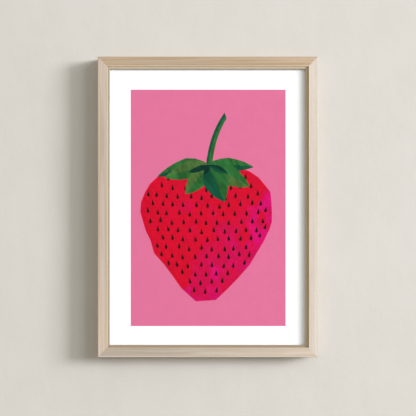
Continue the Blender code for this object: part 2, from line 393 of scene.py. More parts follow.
class MeshTree:
    """A Geometry Nodes tree with named inputs, whose result is realised and given its material."""

    def __init__(self, name: str, inputs: dict[str, str]) -> None:
        """Makes the tree and its sockets.

        Args:
            name: the tree's name.
            inputs: the kind of each input, besides the geometry and the material.
        """
        self.tree = bpy.data.node_groups.new(name, "GeometryNodeTree")
        self.tree.is_modifier = True
        self.sockets: dict[str, str] = {}
        for socket, kind in {"Geometry": "Geometry", **inputs, "Material": "Material"}.items():
            made = self.tree.interface.new_socket(socket, in_out="INPUT", socket_type=f"NodeSocket{kind}")
            self.sockets[socket] = made.identifier
        self.tree.interface.new_socket("Geometry", in_out="OUTPUT", socket_type="NodeSocketGeometry")
        self.graph = Graph(self.tree)
        self.inside = self.graph.node("NodeGroupInput").outputs

    def corners(self) -> Socket:
        """Four points at the corners of an upright rectangle of the inputs Width and Height.

        Returns:
            The points.
        """
        sizes = {"Size X": self.inside["Width"], "Size Y": self.inside["Height"]}
        grid = self.graph.node("GeometryNodeMeshGrid", {**sizes, "Vertices X": 2, "Vertices Y": 2})
        quarter = (0.5 * math.pi, 0.0, 0.0)
        return self.graph.node("GeometryNodeTransform", {0: grid.outputs[0], "Rotation": quarter}).outputs[0]

    def copies(self, points: Socket, **others: object) -> Socket:
        """The mesh that goes into the tree, put at each point."""
        inputs = {"Points": points, "Instance": self.inside["Geometry"], **others}
        return self.graph.node("GeometryNodeInstanceOnPoints", inputs).outputs[0]

    def chance_turn(self, most: float) -> Socket:
        """A turn about Y by chance, up to an angle, from the input Seed."""
        inputs = {"Seed": self.inside["Seed"], "Min": (0.0, 0.0, 0.0), "Max": (0.0, most, 0.0)}
        return self.graph.node("FunctionNodeRandomValue", inputs, data_type="FLOAT_VECTOR").outputs[0]

    def end(self, shape: Socket) -> None:
        """Closes the tree with Realize Instances and Set Material.

        Args:
            shape: the geometry that the tree gives.
        """
        real = self.graph.node("GeometryNodeRealizeInstances", {0: shape}).outputs[0]
        inputs = {"Geometry": real, "Material": self.inside["Material"]}
        dressed = self.graph.node("GeometryNodeSetMaterial", inputs)
        self.graph.node("NodeGroupOutput", {0: dressed.outputs[0]})

    def run(self, name: str, seed_shape: Solid, material: Material, values: dict[str, object]) -> Piece:
        """Grows one piece.

        Args:
            name: the piece's name.
            seed_shape: the mesh that the tree starts from. It is freed.
            material: the finish that the tree sets.
            values: the tree's other inputs, by name.

        Returns:
            The piece as plain mesh, with no modifier left.
        """
        item = as_object(name, seed_shape)
        modifier = item.modifiers.new(name, "NODES")
        modifier.node_group = self.tree
        for socket, value in {**values, "Material": material}.items():
            modifier[self.sockets[socket]] = value
        return settle(item)


# ---------------------------------------------------------------------------------------------------------
# Where things are
# ---------------------------------------------------------------------------------------------------------


class Side(Enum):
    """The frame's four sides, in quarter turns about Y from the top."""

    TOP = 0
    RIGHT = 1
    BOTTOM = 2
    LEFT = 3

    @property
    def label(self) -> str:
        """The side's name in a node's name."""
        return self.name.lower()

    @property
    def turn(self) -> float:
        """The side's turn about Y."""
        return 0.5 * math.pi * self.value

    @property
    def upright(self) -> bool:
        """Whether the rail on this side stands up."""
        return self in (Side.RIGHT, Side.LEFT)


CORNERS = ("top_right", "bottom_right", "bottom_left", "top_left")  # one quarter turn apart


@dataclass(frozen=True)
class Layout:
    """Where the frame is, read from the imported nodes."""

    centre: Vector  # of the sight opening, in the plane of the rails' backs
    sight_width: float
    sight_height: float
    rail_width: float
    rail_depth: float

    @classmethod
    def from_nodes(cls) -> "Layout":
        """Reads the rails' boxes.

        Returns:
            The layout.
        """
        top_low, top_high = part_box("rail_top")
        bottom_low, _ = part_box("rail_bottom")
        rail = top_high.z - top_low.z
        middle = Vector((0.5 * (top_low.x + top_high.x), top_high.y, 0.5 * (bottom_low.z + top_high.z)))
        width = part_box("rail_right")[1].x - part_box("rail_left")[0].x - 2.0 * rail
        height = top_high.z - bottom_low.z - 2.0 * rail
        return cls(middle, width, height, rail, top_high.y - top_low.y)

    def opening(self, side: Side) -> tuple[float, float]:
        """The sight opening along a side and across it."""
        sizes = (self.sight_width, self.sight_height)
        return (sizes[1], sizes[0]) if side.upright else sizes

    def to_place(self, side: Side) -> Matrix:
        """The move from the top rail's own place, about the opening's centre, to a side of the frame."""
        return Matrix.Translation(self.centre) @ about_y(side.turn)

    def back_of(self, node: str) -> float:
        """The w of a node's back face."""
        return self.centre.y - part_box(node)[1].y


# ---------------------------------------------------------------------------------------------------------
# Effects that several finishes share
# ---------------------------------------------------------------------------------------------------------


@dataclass
class Effects:
    """The shader node groups, built once."""

    layout: Layout
    mottle: ShaderGroup = field(init=False)
    grain: ShaderGroup = field(init=False)
    zones: ShaderGroup = field(init=False)

    def __post_init__(self) -> None:
        """Builds the groups."""
        self.mottle = self._mottle()
        self.grain = self._grain()
        self.zones = self._zones()

    @staticmethod
    def _mottle() -> ShaderGroup:
        """A cloudy value between Low and High, with its clouds drawn out by Stretch.

        Returns:
            The group.
        """
        inputs = {
            "Vector": ("Vector", None),
            "Stretch": ("Vector", (1.0, 1.0, 1.0)),
            "Scale": ("Float", 10.0),
            "Contrast": ("Float", 0.3),
            "Low": ("Float", 0.0),
            "High": ("Float", 1.0),
        }
        group = ShaderGroup("mottle", inputs, {"Value": "Float"})
        graph, inside = group.graph, group.inside
        drawn = graph.vector("MULTIPLY", inside["Vector"], inside["Stretch"])
        clouds = graph.noise(drawn, inside["Scale"], detail=4.0)
        low = graph.minus(0.5, inside["Contrast"])
        high = graph.plus(0.5, inside["Contrast"])
        group.give("Value", graph.span(clouds, low, high, inside["Low"], inside["High"]))
        return group

    @staticmethod
    def _grain() -> ShaderGroup:
        """Limed wood whose grain runs along X: growth bands, fibres and short pores filled with liming.

        Returns:
            The group.
        """
        inputs = {
            "Vector": ("Vector", None),
            "Pale": ("Color", paint("E2D6C6")),
            "Warm": ("Color", paint("C9AE8C")),
            "Grey": ("Color", paint("BDB3A6")),
            "Pore": ("Color", paint("A48B6C")),
            "Band Width": ("Float", 5.0 * MM),
            "Warmth": ("Float", 0.5),
        }
        outputs = {"Color": "Color", "Roughness": "Float", "Height": "Float"}
        group = ShaderGroup("limed_grain", inputs, outputs)
        graph, inside = group.graph, group.inside
        wander = graph.noise(graph.vector("MULTIPLY", inside["Vector"], (3.0, 9.0, 9.0)), 1.0, detail=2.0)
        shift = graph.times(graph.minus(wander, 0.5), 0.016)
        bent = graph.vector("ADD", inside["Vector"], graph.join(0.0, shift, shift))
        across = graph.math("DIVIDE", 1.0, inside["Band Width"])
        bands_at = graph.vector("MULTIPLY", bent, graph.join(2.2, across, across))
        bands = graph.noise(bands_at, 0.9, detail=2.5, roughness=0.6)
        second = graph.noise(graph.vector("ADD", bands_at, (7.3, 3.1, 5.7)), 0.55, detail=2.0)
        fibres_at = graph.vector("MULTIPLY", bent, (45.0, 1700.0, 1700.0))
        fibres = graph.noise(fibres_at, 1.0, detail=3.0, roughness=0.7)
        pores_at = graph.vector("MULTIPLY", bent, (260.0, 3300.0, 3300.0))
        pores = graph.span(graph.noise(pores_at, 1.0, detail=1.0), 0.60, 0.70)
        warmth = graph.plus(graph.span(bands, 0.34, 0.66), graph.minus(inside["Warmth"], 0.5))
        colour = graph.blend(warmth, inside["Pale"], inside["Warm"])
        colour = graph.blend(graph.span(second, 0.50, 0.72, 0.0, 0.65), colour, inside["Grey"])
        colour = graph.blend(graph.span(fibres, 0.45, 0.75, 0.0, 0.30), colour, inside["Warm"])
        band_pores = graph.times(pores, graph.span(bands, 0.40, 0.62, 0.12, 0.55))
        group.give("Color", graph.blend(band_pores, colour, inside["Pore"]))
        group.give("Roughness", graph.span(fibres, 0.3, 0.7, 0.50, 0.66))
        lift = graph.times(graph.minus(1.0, pores), 0.7)
        group.give("Height", graph.plus(lift, graph.times(fibres, 0.3)))
        return group

    def _zones(self) -> ShaderGroup:
        """Masks of a rail's outer arris, inner arris, step, mitres, and unlimed sides and back, where its
        material paints its own tones and painted highlight and shade.

        Returns:
            The group.
        """
        inputs = {
            "Vector": ("Vector", None),
            "Arris": ("Float", 3.0 * MM),
            "Step": ("Float", 5.0 * MM),
            "Inner": ("Float", 7.6 * MM),
            "Joint": ("Float", 0.3 * MM),
            "Limed Depth": ("Float", 2.2 * MM),
        }
        outputs = dict.fromkeys(("Arris", "Inner", "Step", "Joint", "Raw"), "Float")
        group = ShaderGroup("rail_zones", inputs, outputs)
        graph, inside = group.graph, group.inside
        x, y, z = graph.parts(graph.vector("SUBTRACT", inside["Vector"], tuple(self.layout.centre)))
        out_x = graph.minus(graph.math("ABSOLUTE", x), 0.5 * self.layout.sight_width)
        out_z = graph.minus(graph.math("ABSOLUTE", z), 0.5 * self.layout.sight_height)
        u = graph.math("MAXIMUM", out_x, out_z)
        edge = graph.minus(self.layout.rail_width, u)
        arris_full_width = graph.times(inside["Arris"], 0.6)
        group.give("Arris", graph.span(edge, arris_full_width, inside["Arris"], 1.0, 0.0))
        step_end = graph.plus(inside["Step"], 0.4 * MM)
        group.give("Step", graph.span(u, inside["Step"], step_end, 1.0, 0.0))
        rounded = graph.times(inside["Inner"], 0.9)
        group.give("Inner", graph.span(u, rounded, inside["Inner"], 1.0, 0.0))
        apart = graph.math("ABSOLUTE", graph.minus(out_x, out_z))
        group.give("Joint", graph.span(apart, 0.0, inside["Joint"], 1.0, 0.0))
        below_face = graph.plus(y, self.layout.rail_depth)
        half_limed = graph.times(inside["Limed Depth"], 0.5)
        group.give("Raw", graph.span(below_face, half_limed, inside["Limed Depth"]))
        return group


@dataclass
class Canvas:
    """A new material with its graph, its Principled shader and its Object coordinates."""

    name: str
    effects: Effects | None = None
    material: Material = field(init=False)
    graph: Graph = field(init=False)
    shader: bpy.types.Node = field(init=False)
    place: Socket = field(init=False)

    def __post_init__(self) -> None:
        """Makes the material."""
        self.material = bpy.data.materials.new(self.name)
        self.material.use_nodes = True
        self.graph = Graph(self.material.node_tree)
        self.shader = self.material.node_tree.nodes["Principled BSDF"]
        self.place = self.graph.node("ShaderNodeTexCoord").outputs["Object"]

    def moved(self, turn: Vector, offset: Vector) -> Socket:
        """The Object coordinates, turned and then offset by a Mapping node."""
        inputs = {"Vector": self.place, "Rotation": turn, "Location": offset}
        return self.graph.node("ShaderNodeMapping", inputs).outputs[0]

    def clouds(self, scale: float, contrast: float, **others: object) -> Socket:
        """A mottle on the Object coordinates; others can give it a Stretch, Low, High or other Vector."""
        values = {"Vector": self.place, "Scale": scale, "Contrast": contrast, **others}
        return self.effects.mottle.place(self.graph, values)["Value"]

    def feed(self, **sockets: object) -> None:
        """Sets or links the shader's sockets.

        Args:
            sockets: what goes into each, its name written with underscores for spaces.
        """
        for name, value in sockets.items():
            socket = self.shader.inputs[name.replace("_", " ")]
            if isinstance(value, Socket):
                self.material.node_tree.links.new(value, socket)
            else:
                socket.default_value = value

    def bump(self, height: Socket, distance: float, strength: float = 1.0) -> None:
        """Raises the surface by a height from 0 to 1 times a distance."""
        inputs = {"Height": height, "Distance": distance, "Strength": strength}
        self.feed(Normal=self.graph.node("ShaderNodeBump", inputs).outputs[0])

    def open_to(self, *masks: Socket) -> None:
        """Lets light through the surface.

        Args:
            masks: where, or for which rays, the surface is clear.
        """
        clear = self.graph.node("ShaderNodeBsdfTransparent").outputs[0]
        surface = self.shader.outputs[0]
        for mask in masks:
            surface = self.graph.node("ShaderNodeMixShader", {0: mask, 1: surface, 2: clear}).outputs[0]
        self.graph.tree.links.new(surface, self.graph.tree.nodes["Material Output"].inputs["Surface"])


# ---------------------------------------------------------------------------------------------------------
# Finishes
# ---------------------------------------------------------------------------------------------------------


@dataclass(frozen=True)
class WoodFinish:
    """Limed wood on one rail, each cut from its own length of moulding. Its colours are partly the wood's
    own and partly painted light: lighter towards the right, where the light comes from, with painted
    highlight and shade on its arrises and step.
    """

    side: Side
    pale: str
    warm: str
    grey: str
    arris: str  # the outer arris in painted light: a painted highlight on the bottom and left rails, painted shade on the top and right
    inner: str  # the rounded edge above the step in painted light: a painted highlight on the top rail, painted shade on the others
    step: str  # the step beside the picture, which took less liming, lightened with painted light on the right and top rails and darkened with painted shade on the bottom
    warmth: float
    near_tone_and_light: float  # brightness at the rail's left or lower end, partly painted light
    far_tone_and_light: float  # brightness at its right or upper end, partly painted light
    dip: float  # how much darker it is in the middle, partly painted shade
    cut: float  # where along the plank the rail was cut
    raw: str = "9C7C5A"  # the unlimed sides and back, kept dark partly as painted shade so that the sides the light rakes stay dim
    joint: str = "8C7458"  # the line where two rails meet
    zone_share: float = 0.8  # how strongly the zones take their own colours
    joint_share: float = 0.5

    def material(self, effects: Effects) -> Material:
        """Builds the rail's material.

        Args:
            effects: the shared node groups.

        Returns:
            The material.
        """
        canvas = Canvas(f"limed_wood_{self.side.label}", effects)
        graph, layout = canvas.graph, effects.layout
        turn = Vector((0.0, 0.5 * math.pi if self.side.upright else 0.0, 0.0))
        along = canvas.moved(turn, Vector((self.cut, 0.37 * self.cut, -0.61 * self.cut)))
        tones = {"Pale": paint(self.pale), "Warm": paint(self.warm), "Grey": paint(self.grey)}
        grain = effects.grain.place(graph, {"Vector": along, **tones, "Warmth": self.warmth})
        zones = effects.zones.place(graph, {"Vector": canvas.place})
        # Brightness drift along the rail and a darker middle: partly the wood's own tone, partly painted
        # light and sheen.
        x, _, z = graph.parts(graph.vector("SUBTRACT", canvas.place, tuple(layout.centre)))
        reach = 0.5 * layout.opening(self.side)[0]
        place = z if self.side.upright else x
        drift_and_painted_light = graph.span(place, -reach, reach, self.near_tone_and_light, self.far_tone_and_light)
        share = graph.math("DIVIDE", place, reach)
        dip = graph.times(graph.minus(1.0, graph.times(share, share)), self.dip)
        colour = graph.scaled(grain["Color"], graph.minus(drift_and_painted_light, dip))
        # Each zone takes its own colour: unlimed sides and back (partly painted shade), painted highlight
        # and shade on the inner and outer arrises, and the less-limed step with painted light.
        layers = (("Raw", self.raw), ("Inner", self.inner), ("Step", self.step), ("Arris", self.arris))
        for zone, tone in layers:
            colour = graph.blend(graph.times(zones[zone], self.zone_share), colour, paint(tone))
        colour = graph.blend(graph.times(zones["Joint"], self.joint_share), colour, paint(self.joint))
        canvas.feed(Base_Color=colour, Roughness=grain["Roughness"])
        canvas.bump(grain["Height"], 0.12 * MM, 0.6)
        return canvas.material


# Per-rail colours, partly each length's own tone and partly painted light: the right rail and the right-hand
# ends of the top and bottom rails are lighter where the light comes from the right, and each side's arrises
# and step carry their own painted highlight and shade.
WOOD = (
    WoodFinish(
        Side.TOP, "BFAB92", "AF9474", "B2A18E", "9C8464", "F8ECDA", "BFAB88", 0.55, 0.95, 1.03, 0.07, 0.31
    ),
    WoodFinish(
        Side.RIGHT, "D9D1C7", "CDC0B0", "D0C8BF", "90887C", "A8926F", "D2B490", 0.45, 0.99, 0.99, 0.02, 1.27
    ),
    WoodFinish(
        Side.BOTTOM, "C5B8AA", "B5A694", "B8AEA4", "F2E6DA", "9C8A74", "968670", 0.50, 0.86, 1.18, 0.06, 2.43
    ),
    WoodFinish(
        Side.LEFT, "C5B7AA", "B6A490", "B9AEA5", "DBCCBA", "867A6C", "AB9A82", 0.50, 1.18, 1.07, 0.15, 3.59
    ),
)


@dataclass(frozen=True)
class GlazingFinish:
    """Clear glazing with a low-reflection face."""

    ior: float = 1.1
    roughness: float = 0.02
    tint: Colour = (0.99, 1.0, 0.995, 1.0)

    def material(self) -> Material:
        """Clear to the camera, and open to shadow rays and to bounced light.

        Returns:
            The material.
        """
        canvas = Canvas("low_reflection_glazing")
        canvas.feed(Base_Color=self.tint, Roughness=self.roughness, IOR=self.ior, Transmission_Weight=1.0)
        path = canvas.graph.node("ShaderNodeLightPath").outputs
        canvas.open_to(path["Is Diffuse Ray"], path["Is Shadow Ray"])
        return canvas.material


@dataclass(frozen=True)
class PrintFinish:
    """Matt art paper and its inks, which the sheet carries in its ink attribute."""

    paper_roughness: float = 0.90
    ink_roughness: float = 0.80
    rose: str = "C20846"
    magenta: str = "CC0768"

    def material(self, effects: Effects) -> Material:
        """Colours from the attribute, with brushwork as strong as its alpha says.

        Args:
            effects: the shared node groups.

        Returns:
            The material.
        """
        canvas = Canvas("art_paper_and_inks", effects)
        graph = canvas.graph
        ink = graph.node("ShaderNodeAttribute", attribute_name="ink").outputs
        slanted = canvas.moved(Vector((0.0, math.radians(28.0), 0.0)), Vector((0.0, 0.0, 0.0)))
        strokes = canvas.clouds(130.0, 0.22, Vector=slanted, Stretch=(1.0, 1.0, 0.28), Low=-1.0)
        wash = canvas.clouds(34.0, 0.2, Low=-1.0)
        brushwork = graph.times(graph.plus(strokes, wash), 0.5)
        lift = graph.plus(graph.times(brushwork, ink["Alpha"]), 1.0)
        colour = graph.scaled(self._washed(canvas, ink["Color"]), lift)
        printed = graph.span(ink["Alpha"], 0.0, 0.02, self.paper_roughness, self.ink_roughness)
        canvas.feed(Base_Color=colour, Roughness=printed, Specular_IOR_Level=0.06)
        canvas.bump(canvas.clouds(2600.0, 0.35), 0.03 * MM, 0.4)
        return canvas.material

    def _washed(self, canvas: Canvas, ink: Socket) -> Socket:
        """Lets rose and magenta washes into the ink where the sheet's bloom attribute asks for them.

        Args:
            canvas: the sheet's material.
            ink: the ink's own colour.

        Returns:
            The washed colour.
        """
        graph = canvas.graph
        bloom = graph.node("ShaderNodeAttribute", attribute_name="bloom").outputs["Fac"]
        any_bloom = graph.math("GREATER_THAN", bloom, 0.001)
        for wash, scale, start in ((self.rose, 21.0, 0.75), (self.magenta, 30.0, 1.0)):
            clouds = canvas.clouds(scale, 0.26, Stretch=(1.0, 1.0, 0.7))
            amount = graph.span(graph.plus(clouds, bloom), start, start + 0.55)
            ink = graph.blend(graph.times(amount, any_bloom), ink, paint(wash))
        return ink


@dataclass(frozen=True)
class BoardFinish:
    """Raw brown fibreboard: pressed fibres, darker flecks and a faint polish from the press."""

    pale: str = "B3916B"
    dark: str = "8F6E4B"
    fleck: str = "5E4630"
    fibre: str = "C9AB86"

    def material(self, effects: Effects) -> Material:
        """Builds the board's material.

        Args:
            effects: the shared node groups.

        Returns:
            The material.
        """
        canvas = Canvas("raw_fibreboard", effects)
        graph = canvas.graph
        fibres = canvas.clouds(900.0, 0.2, Stretch=(1.0, 1.0, 0.35))
        crossed = canvas.clouds(700.0, 0.2, Stretch=(0.35, 1.0, 1.0))
        flecks = graph.noise(canvas.place, 420.0, detail=1.0)
        colour = graph.blend(canvas.clouds(16.0, 0.25), paint(self.pale), paint(self.dark))
        colour = graph.blend(graph.times(fibres, 0.30), colour, paint(self.dark))
        colour = graph.blend(graph.times(crossed, 0.25), colour, paint(self.fibre))
        colour = graph.blend(graph.span(flecks, 0.66, 0.74, 0.0, 0.6), colour, paint(self.fleck))
        canvas.feed(Base_Color=colour, Roughness=canvas.clouds(60.0, 0.3, Low=0.50, High=0.68))
        canvas.bump(graph.plus(fibres, crossed), 0.04 * MM, 0.5)
        return canvas.material


@dataclass(frozen=True)
class SteelFinish:
    """Bright zinc plate with fine rolling lines, spangle and a little white bloom."""

    name: str
    plate: str
    shadow: str
    low_roughness: float
    high_roughness: float

    def material(self, effects: Effects) -> Material:
        """Builds the plate's material.

        Args:
            effects: the shared node groups.

        Returns:
            The material.
        """
        canvas = Canvas(self.name, effects)
        graph = canvas.graph
        lines = canvas.clouds(5200.0, 0.25, Stretch=(0.05, 1.0, 1.0))
        spangle = graph.node("ShaderNodeTexVoronoi", {"Vector": canvas.place, "Scale": 700.0})
        tone = graph.blend(graph.times(lines, 0.5), paint(self.plate), paint(self.shadow))
        cells = graph.parts(spangle.outputs["Color"])[0]
        tone = graph.blend(graph.times(cells, 0.25), tone, paint(self.plate))
        bloom = canvas.clouds(380.0, 0.18)
        rough = graph.span(bloom, 0.0, 1.0, self.low_roughness, self.high_roughness)
        canvas.feed(Base_Color=tone, Roughness=rough, Metallic=1.0)
        canvas.bump(lines, 0.01 * MM, 0.4)
        return canvas.material


@dataclass(frozen=True)
class FeltFinish:
    """Dense grey felt with paler and darker hairs."""

    pale: str = "A19C94"
    dark: str = "5F5B56"
    tuft: str = "7F7A73"

    def material(self, effects: Effects) -> Material:
        """Builds the felt's material.

        Args:
            effects: the shared node groups.

        Returns:
            The material.
        """
        canvas = Canvas("grey_felt", effects)
        graph = canvas.graph
        hairs = canvas.clouds(4200.0, 0.2, Stretch=(1.0, 0.4, 0.3))
        tufts = canvas.clouds(1100.0, 0.2)
        tone = graph.blend(hairs, paint(self.dark), paint(self.pale))
        tone = graph.blend(graph.times(tufts, 0.4), tone, paint(self.tuft))
        canvas.feed(Base_Color=tone, Roughness=graph.span(tufts, 0.0, 1.0, 0.88, 0.98), Sheen_Weight=0.4)
        canvas.bump(graph.plus(hairs, tufts), 0.15 * MM, 0.8)
        return canvas.material


@dataclass(frozen=True)
class PlasterFinish:
    """Painted plaster with faint trowel clouds, seen from its front only."""

    name: str
    tint: str
    shade: str

    def material(self, effects: Effects) -> Material:
        """Builds the plaster's material.

        Args:
            effects: the shared node groups.

        Returns:
            The material.
        """
        canvas = Canvas(self.name, effects)
        graph = canvas.graph
        trowel = canvas.clouds(14.0, 0.2, Stretch=(1.0, 1.0, 0.6))
        both = graph.plus(canvas.clouds(2.6, 0.22), graph.times(trowel, 0.5))
        colour = graph.blend(graph.times(both, 0.66), paint(self.tint), paint(self.shade))
        canvas.feed(Base_Color=colour, Roughness=0.9, Specular_IOR_Level=0.0)
        fine = canvas.clouds(240.0, 0.3)
        canvas.bump(graph.plus(graph.times(trowel, 2.0), fine), 0.25 * MM, 0.35)
        behind = graph.node("ShaderNodeNewGeometry").outputs["Backfacing"]
        canvas.open_to(behind, graph.node("ShaderNodeLightPath").outputs["Is Shadow Ray"])
        return canvas.material


# ---------------------------------------------------------------------------------------------------------
# The wooden frame
# ---------------------------------------------------------------------------------------------------------


@dataclass
class Moulding:
    """The four mitred rails, swept from one section."""

    layout: Layout
    rebate_width: float = 6.0 * MM
    lip_depth: float = 6.0 * MM
    step_width: float = 5.0 * MM
    step_drop: float = 3.0 * MM
    step_edge_radius: float = 0.6 * MM
    inner_arris_radius: float = 2.5 * MM
    outer_arris_radius: float = 2.5 * MM
    back_arris_radius: float = 0.8 * MM
    shading_room: float = 0.25 * MM  # from an arris to the line that holds the flat face flat
    mitre_room: float = 0.04 * MM
    ripple: float = 0.10 * MM
    ripple_length: float = 60.0 * MM  # along the grain
    ripple_width: float = 14.0 * MM  # across it
    stations: int = 36
    tree: MeshTree = field(init=False)

    def __post_init__(self) -> None:
        """Builds the sweep."""
        self.tree = self._sweep()

    @property
    def shelf(self) -> float:
        """The w of the rebate's shelf."""
        return self.layout.rail_depth - self.lip_depth

    @property
    def step(self) -> float:
        """The w of the flat step beside the picture."""
        return self.layout.rail_depth - self.step_drop

    def section(self) -> list[Point]:
        """The rail's section, from the rebate's back corner round the outside to the lip.

        Returns:
            Its (u, w) points.
        """
        width, depth, room = self.layout.rail_width, self.layout.rail_depth, self.shading_room
        back, outer = self.back_arris_radius, self.outer_arris_radius
        inner, sight = self.inner_arris_radius, self.step_edge_radius
        inner_wall = self.step_width
        return [
            (self.rebate_width, 0.0),
            (self.rebate_width + room, 0.0),
            (width - back - room, 0.0),
            *arc((width - back, back), back, -90.0, 0.0, 4),
            (width, back + room),
            (width, depth - outer - room),
            *arc((width - outer, depth - outer), outer, 0.0, 90.0, 8),
            (width - outer - room, depth),
            (inner_wall + inner + room, depth),
            *arc((inner_wall + inner, depth - inner), inner, 90.0, 180.0, 8),
            (inner_wall, self.step + room),
            (inner_wall, self.step),
            (inner_wall - room, self.step),
            (sight + room, self.step),
            *arc((sight, self.step - sight), sight, 90.0, 180.0, 4),
            (0.0, self.step - sight - room),
            (0.0, self.shelf),
            (self.rebate_width, self.shelf),
        ]

    def _sweep(self) -> MeshTree:
        """Sweeps a section along X, mitres both ends and gives the wood a hand-finished ripple.

        Returns:
            The tree.
        """
        sizes = ("Length", "Across", "Mitre Room", "Ripple", "Ripple Length", "Ripple Width")
        tree = MeshTree("mitred_rail", {**dict.fromkeys(sizes, "Float"), "Stations": "Int", "Seed": "Float"})
        graph, inside = tree.graph, tree.inside
        half = graph.times(inside["Length"], 0.5)
        ends = {"Start": graph.join(graph.times(half, -1.0), 0.0, 0.0), "End": graph.join(half, 0.0, 0.0)}
        line = graph.node("GeometryNodeCurvePrimitiveLine", ends)
        evenly = {"Curve": line.outputs[0], "Count": inside["Stations"]}
        path = graph.node("GeometryNodeResampleCurve", evenly)
        outline = graph.node("GeometryNodeMeshToCurve", {0: inside["Geometry"]})
        curves = {"Curve": path.outputs[0], "Profile Curve": outline.outputs[0], "Fill Caps": True}
        swept = graph.node("GeometryNodeCurveToMesh", curves)
        x, y, z = graph.parts(graph.node("GeometryNodeInputPosition").outputs[0])
        reach = graph.plus(half, graph.minus(z, inside["Mitre Room"]))
        mitred_x = graph.math("DIVIDE", graph.times(x, reach), half)
        position = graph.join(mitred_x, y, z)
        mitred = graph.node("GeometryNodeSetPosition", {0: swept.outputs[0], "Position": position})
        place = graph.node("GeometryNodeInputPosition").outputs[0]
        wide = graph.math("DIVIDE", 1.0, inside["Ripple Width"])
        scale = graph.join(graph.math("DIVIDE", 1.0, inside["Ripple Length"]), wide, wide)
        waves_at = {"Vector": graph.vector("MULTIPLY", place, scale), "W": inside["Seed"]}
        look = {"Scale": 1.0, "Detail": 1.0}
        waves = graph.node("ShaderNodeTexNoise", {**waves_at, **look}, noise_dimensions="4D")
        away = graph.minus(half, graph.math("ABSOLUTE", graph.parts(place)[0]))
        calm = graph.span(away, 0.0, inside["Ripple Length"])
        height = graph.times(graph.minus(waves.outputs[0], 0.5), inside["Ripple"])
        outward = graph.node("GeometryNodeInputNormal").outputs[0]
        offset = graph.scaled(outward, graph.times(height, calm))
        rippled = graph.node("GeometryNodeSetPosition", {0: mitred.outputs[0], "Offset": offset})
        outwards = graph.join(0.0, 0.0, graph.times(inside["Across"], 0.5))
        moved = graph.node("GeometryNodeTransform", {0: rippled.outputs[0], "Translation": outwards})
        tree.end(moved.outputs[0])
        return tree

    def outline(self) -> Solid:
        """The section as a loop of edges, laid out so that the sweep stands it up: X is w and Y is -u.

        Returns:
            The loop.
        """
        mesh = bmesh.new()
        corners = [mesh.verts.new((w, -u, 0.0)) for u, w in self.section()]
        for index, corner in enumerate(corners):
            mesh.edges.new((corner, corners[(index + 1) % len(corners)]))
        return mesh

    def build(self, side: Side, material: Material, pockets: Sequence[Solid]) -> Piece:
        """Makes one rail.

        Args:
            side: where it goes.
            material: its finish.
            pockets: what is cut out of it, in the top rail's place. They are freed.

        Returns:
            The rail.
        """
        along, across = self.layout.opening(side)
        values = {
            "Length": along,
            "Across": across,
            "Mitre Room": self.mitre_room,
            "Ripple": self.ripple,
            "Ripple Length": self.ripple_length,
            "Ripple Width": self.ripple_width,
            "Stations": self.stations,
            "Seed": float(side.value),
        }
        rail = self.tree.run(f"wooden_rail_{side.label}", self.outline(), material, values)
        carved(rail, pockets)
        rail.data.transform(self.layout.to_place(side))
        shade(rail)
        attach(rail, BODY)
        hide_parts(f"rail_{side.label}")
        return rail


# ---------------------------------------------------------------------------------------------------------
# Steel fixings
# ---------------------------------------------------------------------------------------------------------


